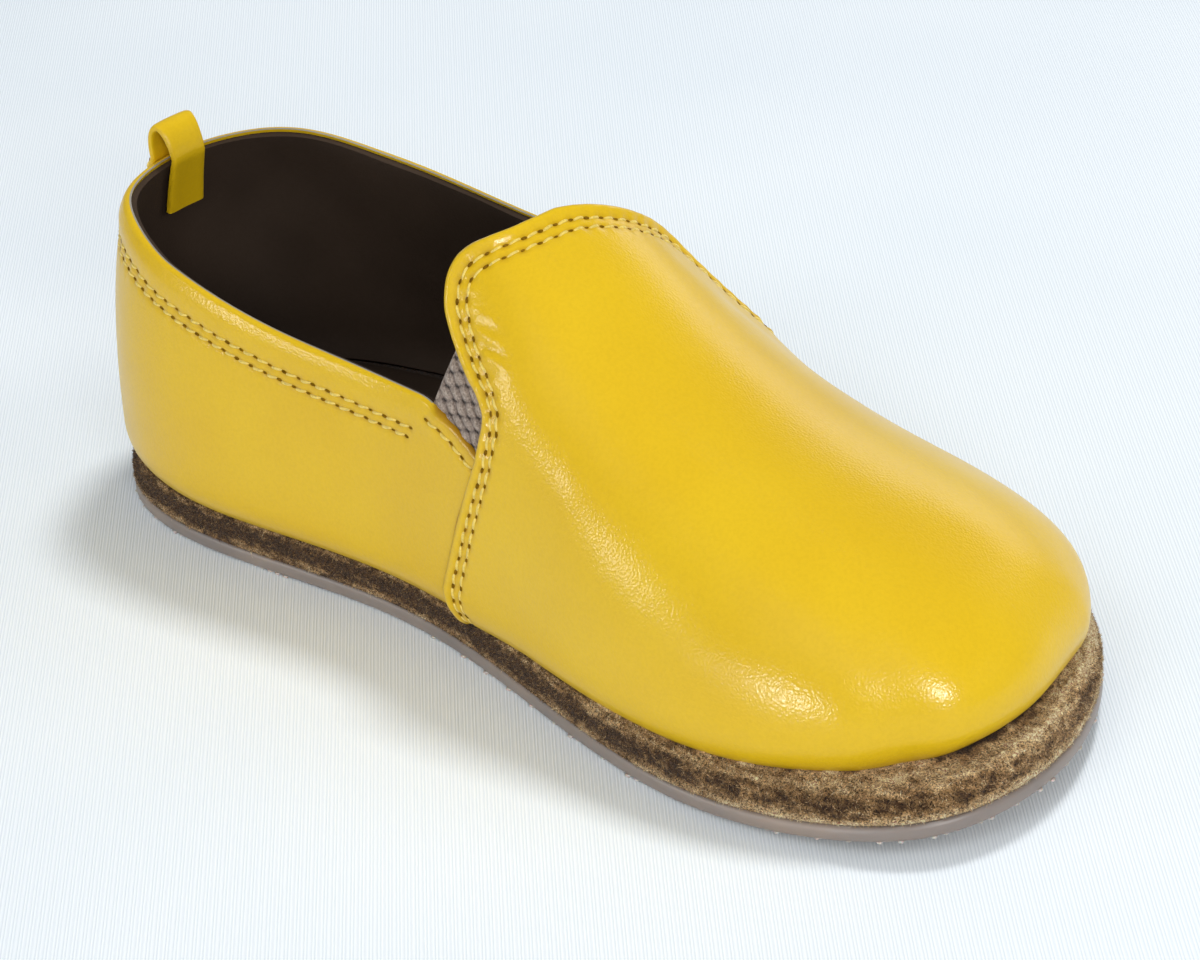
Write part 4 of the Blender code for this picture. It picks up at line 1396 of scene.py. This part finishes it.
def make_floor():
    """Pale cloth with fine slanting ribs of two sizes."""
    look = Look("pale cloth", (0.78, 0.83, 0.88), 0.9)
    turned = look.add("Mapping", "Vector", Vector=look.place(), Rotation=(0, 0, CLOTH_SLANT))
    weft = look.mix("MIX", 0.35, *[
        look.add("TexWave", "Fac", Vector=turned, Scale=scale, Distortion=0.5, Detail=1)
        for scale in (640, 905)])
    ribs = look.ramp(weft, (0.2, (0.790, 0.836, 0.874)), (0.8, (0.940, 0.975, 0.995)))
    uneven = look.ramp(look.noise(9, 2), (0.35, (0.945, 0.958, 0.972)), (0.65, WHITE))
    cloth = look.finished(look.mix("MULTIPLY", 1.0, ribs, uneven), look.bump(weft, 0.35, 0.00013))
    far = 1.5
    corners = [(-far, -far, 0), (far, -far, 0), (far, far, 0), (-far, far, 0)]
    mesh_piece("floor", corners, [(0, 1, 2, 3)], [cloth], flat=True)


def area_light(name, place, target, size, power, color=WHITE):
    light = bpy.data.lights.new(name, "AREA")
    light.shape = "RECTANGLE"
    light.size, light.size_y = size
    light.energy = power
    light.color = color
    lamp = new_object(name, light)
    lamp.location = place
    lamp.rotation_euler = (Vector(target) - Vector(place)).to_track_quat("-Z", "Y").to_euler()
    return lamp


COOL = (0.96, 0.98, 1.0)

make_floor()
area_light("low window", (-0.12, -1.12, 0.075), (0.05, 0, 0.02), (0.55, 0.05), 1.2)
area_light("side window", (-0.68, -0.92, 0.30), (0.02, 0, 0.03), (0.24, 0.28), 1.0)
area_light("front window", (0.94, -0.66, 0.48), (0.05, 0, 0.02), (0.45, 0.20), 4.2)
area_light("ceiling", (0.1, 0.0, 1.4), (0, 0, 0), (2.0, 1.8), 1.8, (0.95, 0.98, 1.0))
area_light("back wall", (-0.22, 1.38, 0.40), (0, 0, 0.02), (0.8, 0.36), 1.7, COOL)
# Light that falls on the shoe, but isn't mirrored in its leather.
for lamp in (
        area_light("skylight", (0.0, 0.45, 1.22), (0, 0, 0), (0.22, 0.22), 7.4, COOL),
        area_light("near wall", (0.30, -0.95, 1.0), (0, 0, 0), (1.0, 0.8), 5.4, COOL),
        area_light("right wall", (1.05, 0.50, 0.50), (0.05, 0, 0.02), (0.6, 0.4), 3.2)):
    lamp.visible_glossy = False
# Panes that are only mirrored in the leather, as its streaks of sheen.
for lamp in (
        area_light("low pane", (0.12, -1.08, 0.075), (0.05, 0, 0.02), (0.18, 0.05), 2.9),
        area_light("side pane", (-0.66, -0.90, 0.29), (0.02, 0, 0.03), (0.15, 0.26), 1.5),
        area_light("front pane", (1.01, -0.51, 0.47), (0.05, 0, 0.02), (0.28, 0.09), 5.8)):
    lamp.visible_diffuse = False

world = bpy.data.worlds.new("pale room")
bpy.context.scene.world = world
world.use_nodes = True
sky = world.node_tree.nodes["Background"]
sky.inputs["Color"].default_value = (0.90, 0.96, 1.0, 1)
sky.inputs["Strength"].default_value = 0.24

CAMERA_PLACE = Vector((321.9, -336.5, 275.4)) * MM
CAMERA_AIM = Vector((2, 0, 18)) * MM
CAMERA_ROLL = math.radians(-5.0)


def make_camera():
    camera = bpy.data.cameras.new("camera")
    camera.lens = 111
    camera.sensor_width = 36
    viewer = new_object("camera", camera)
    forward = (CAMERA_AIM - CAMERA_PLACE).normalized()
    level = forward.cross(Vector((0, 0, 1))).normalized()
    upright = level.cross(forward)
    right = level * math.cos(CAMERA_ROLL) + upright * math.sin(CAMERA_ROLL)
    turned = Matrix((right, right.cross(forward), -forward)).transposed()
    viewer.matrix_world = Matrix.Translation(CAMERA_PLACE) @ turned.to_4x4()
    bpy.context.scene.camera = viewer


make_camera()
bpy.context.scene.view_settings.view_transform = "Standard"
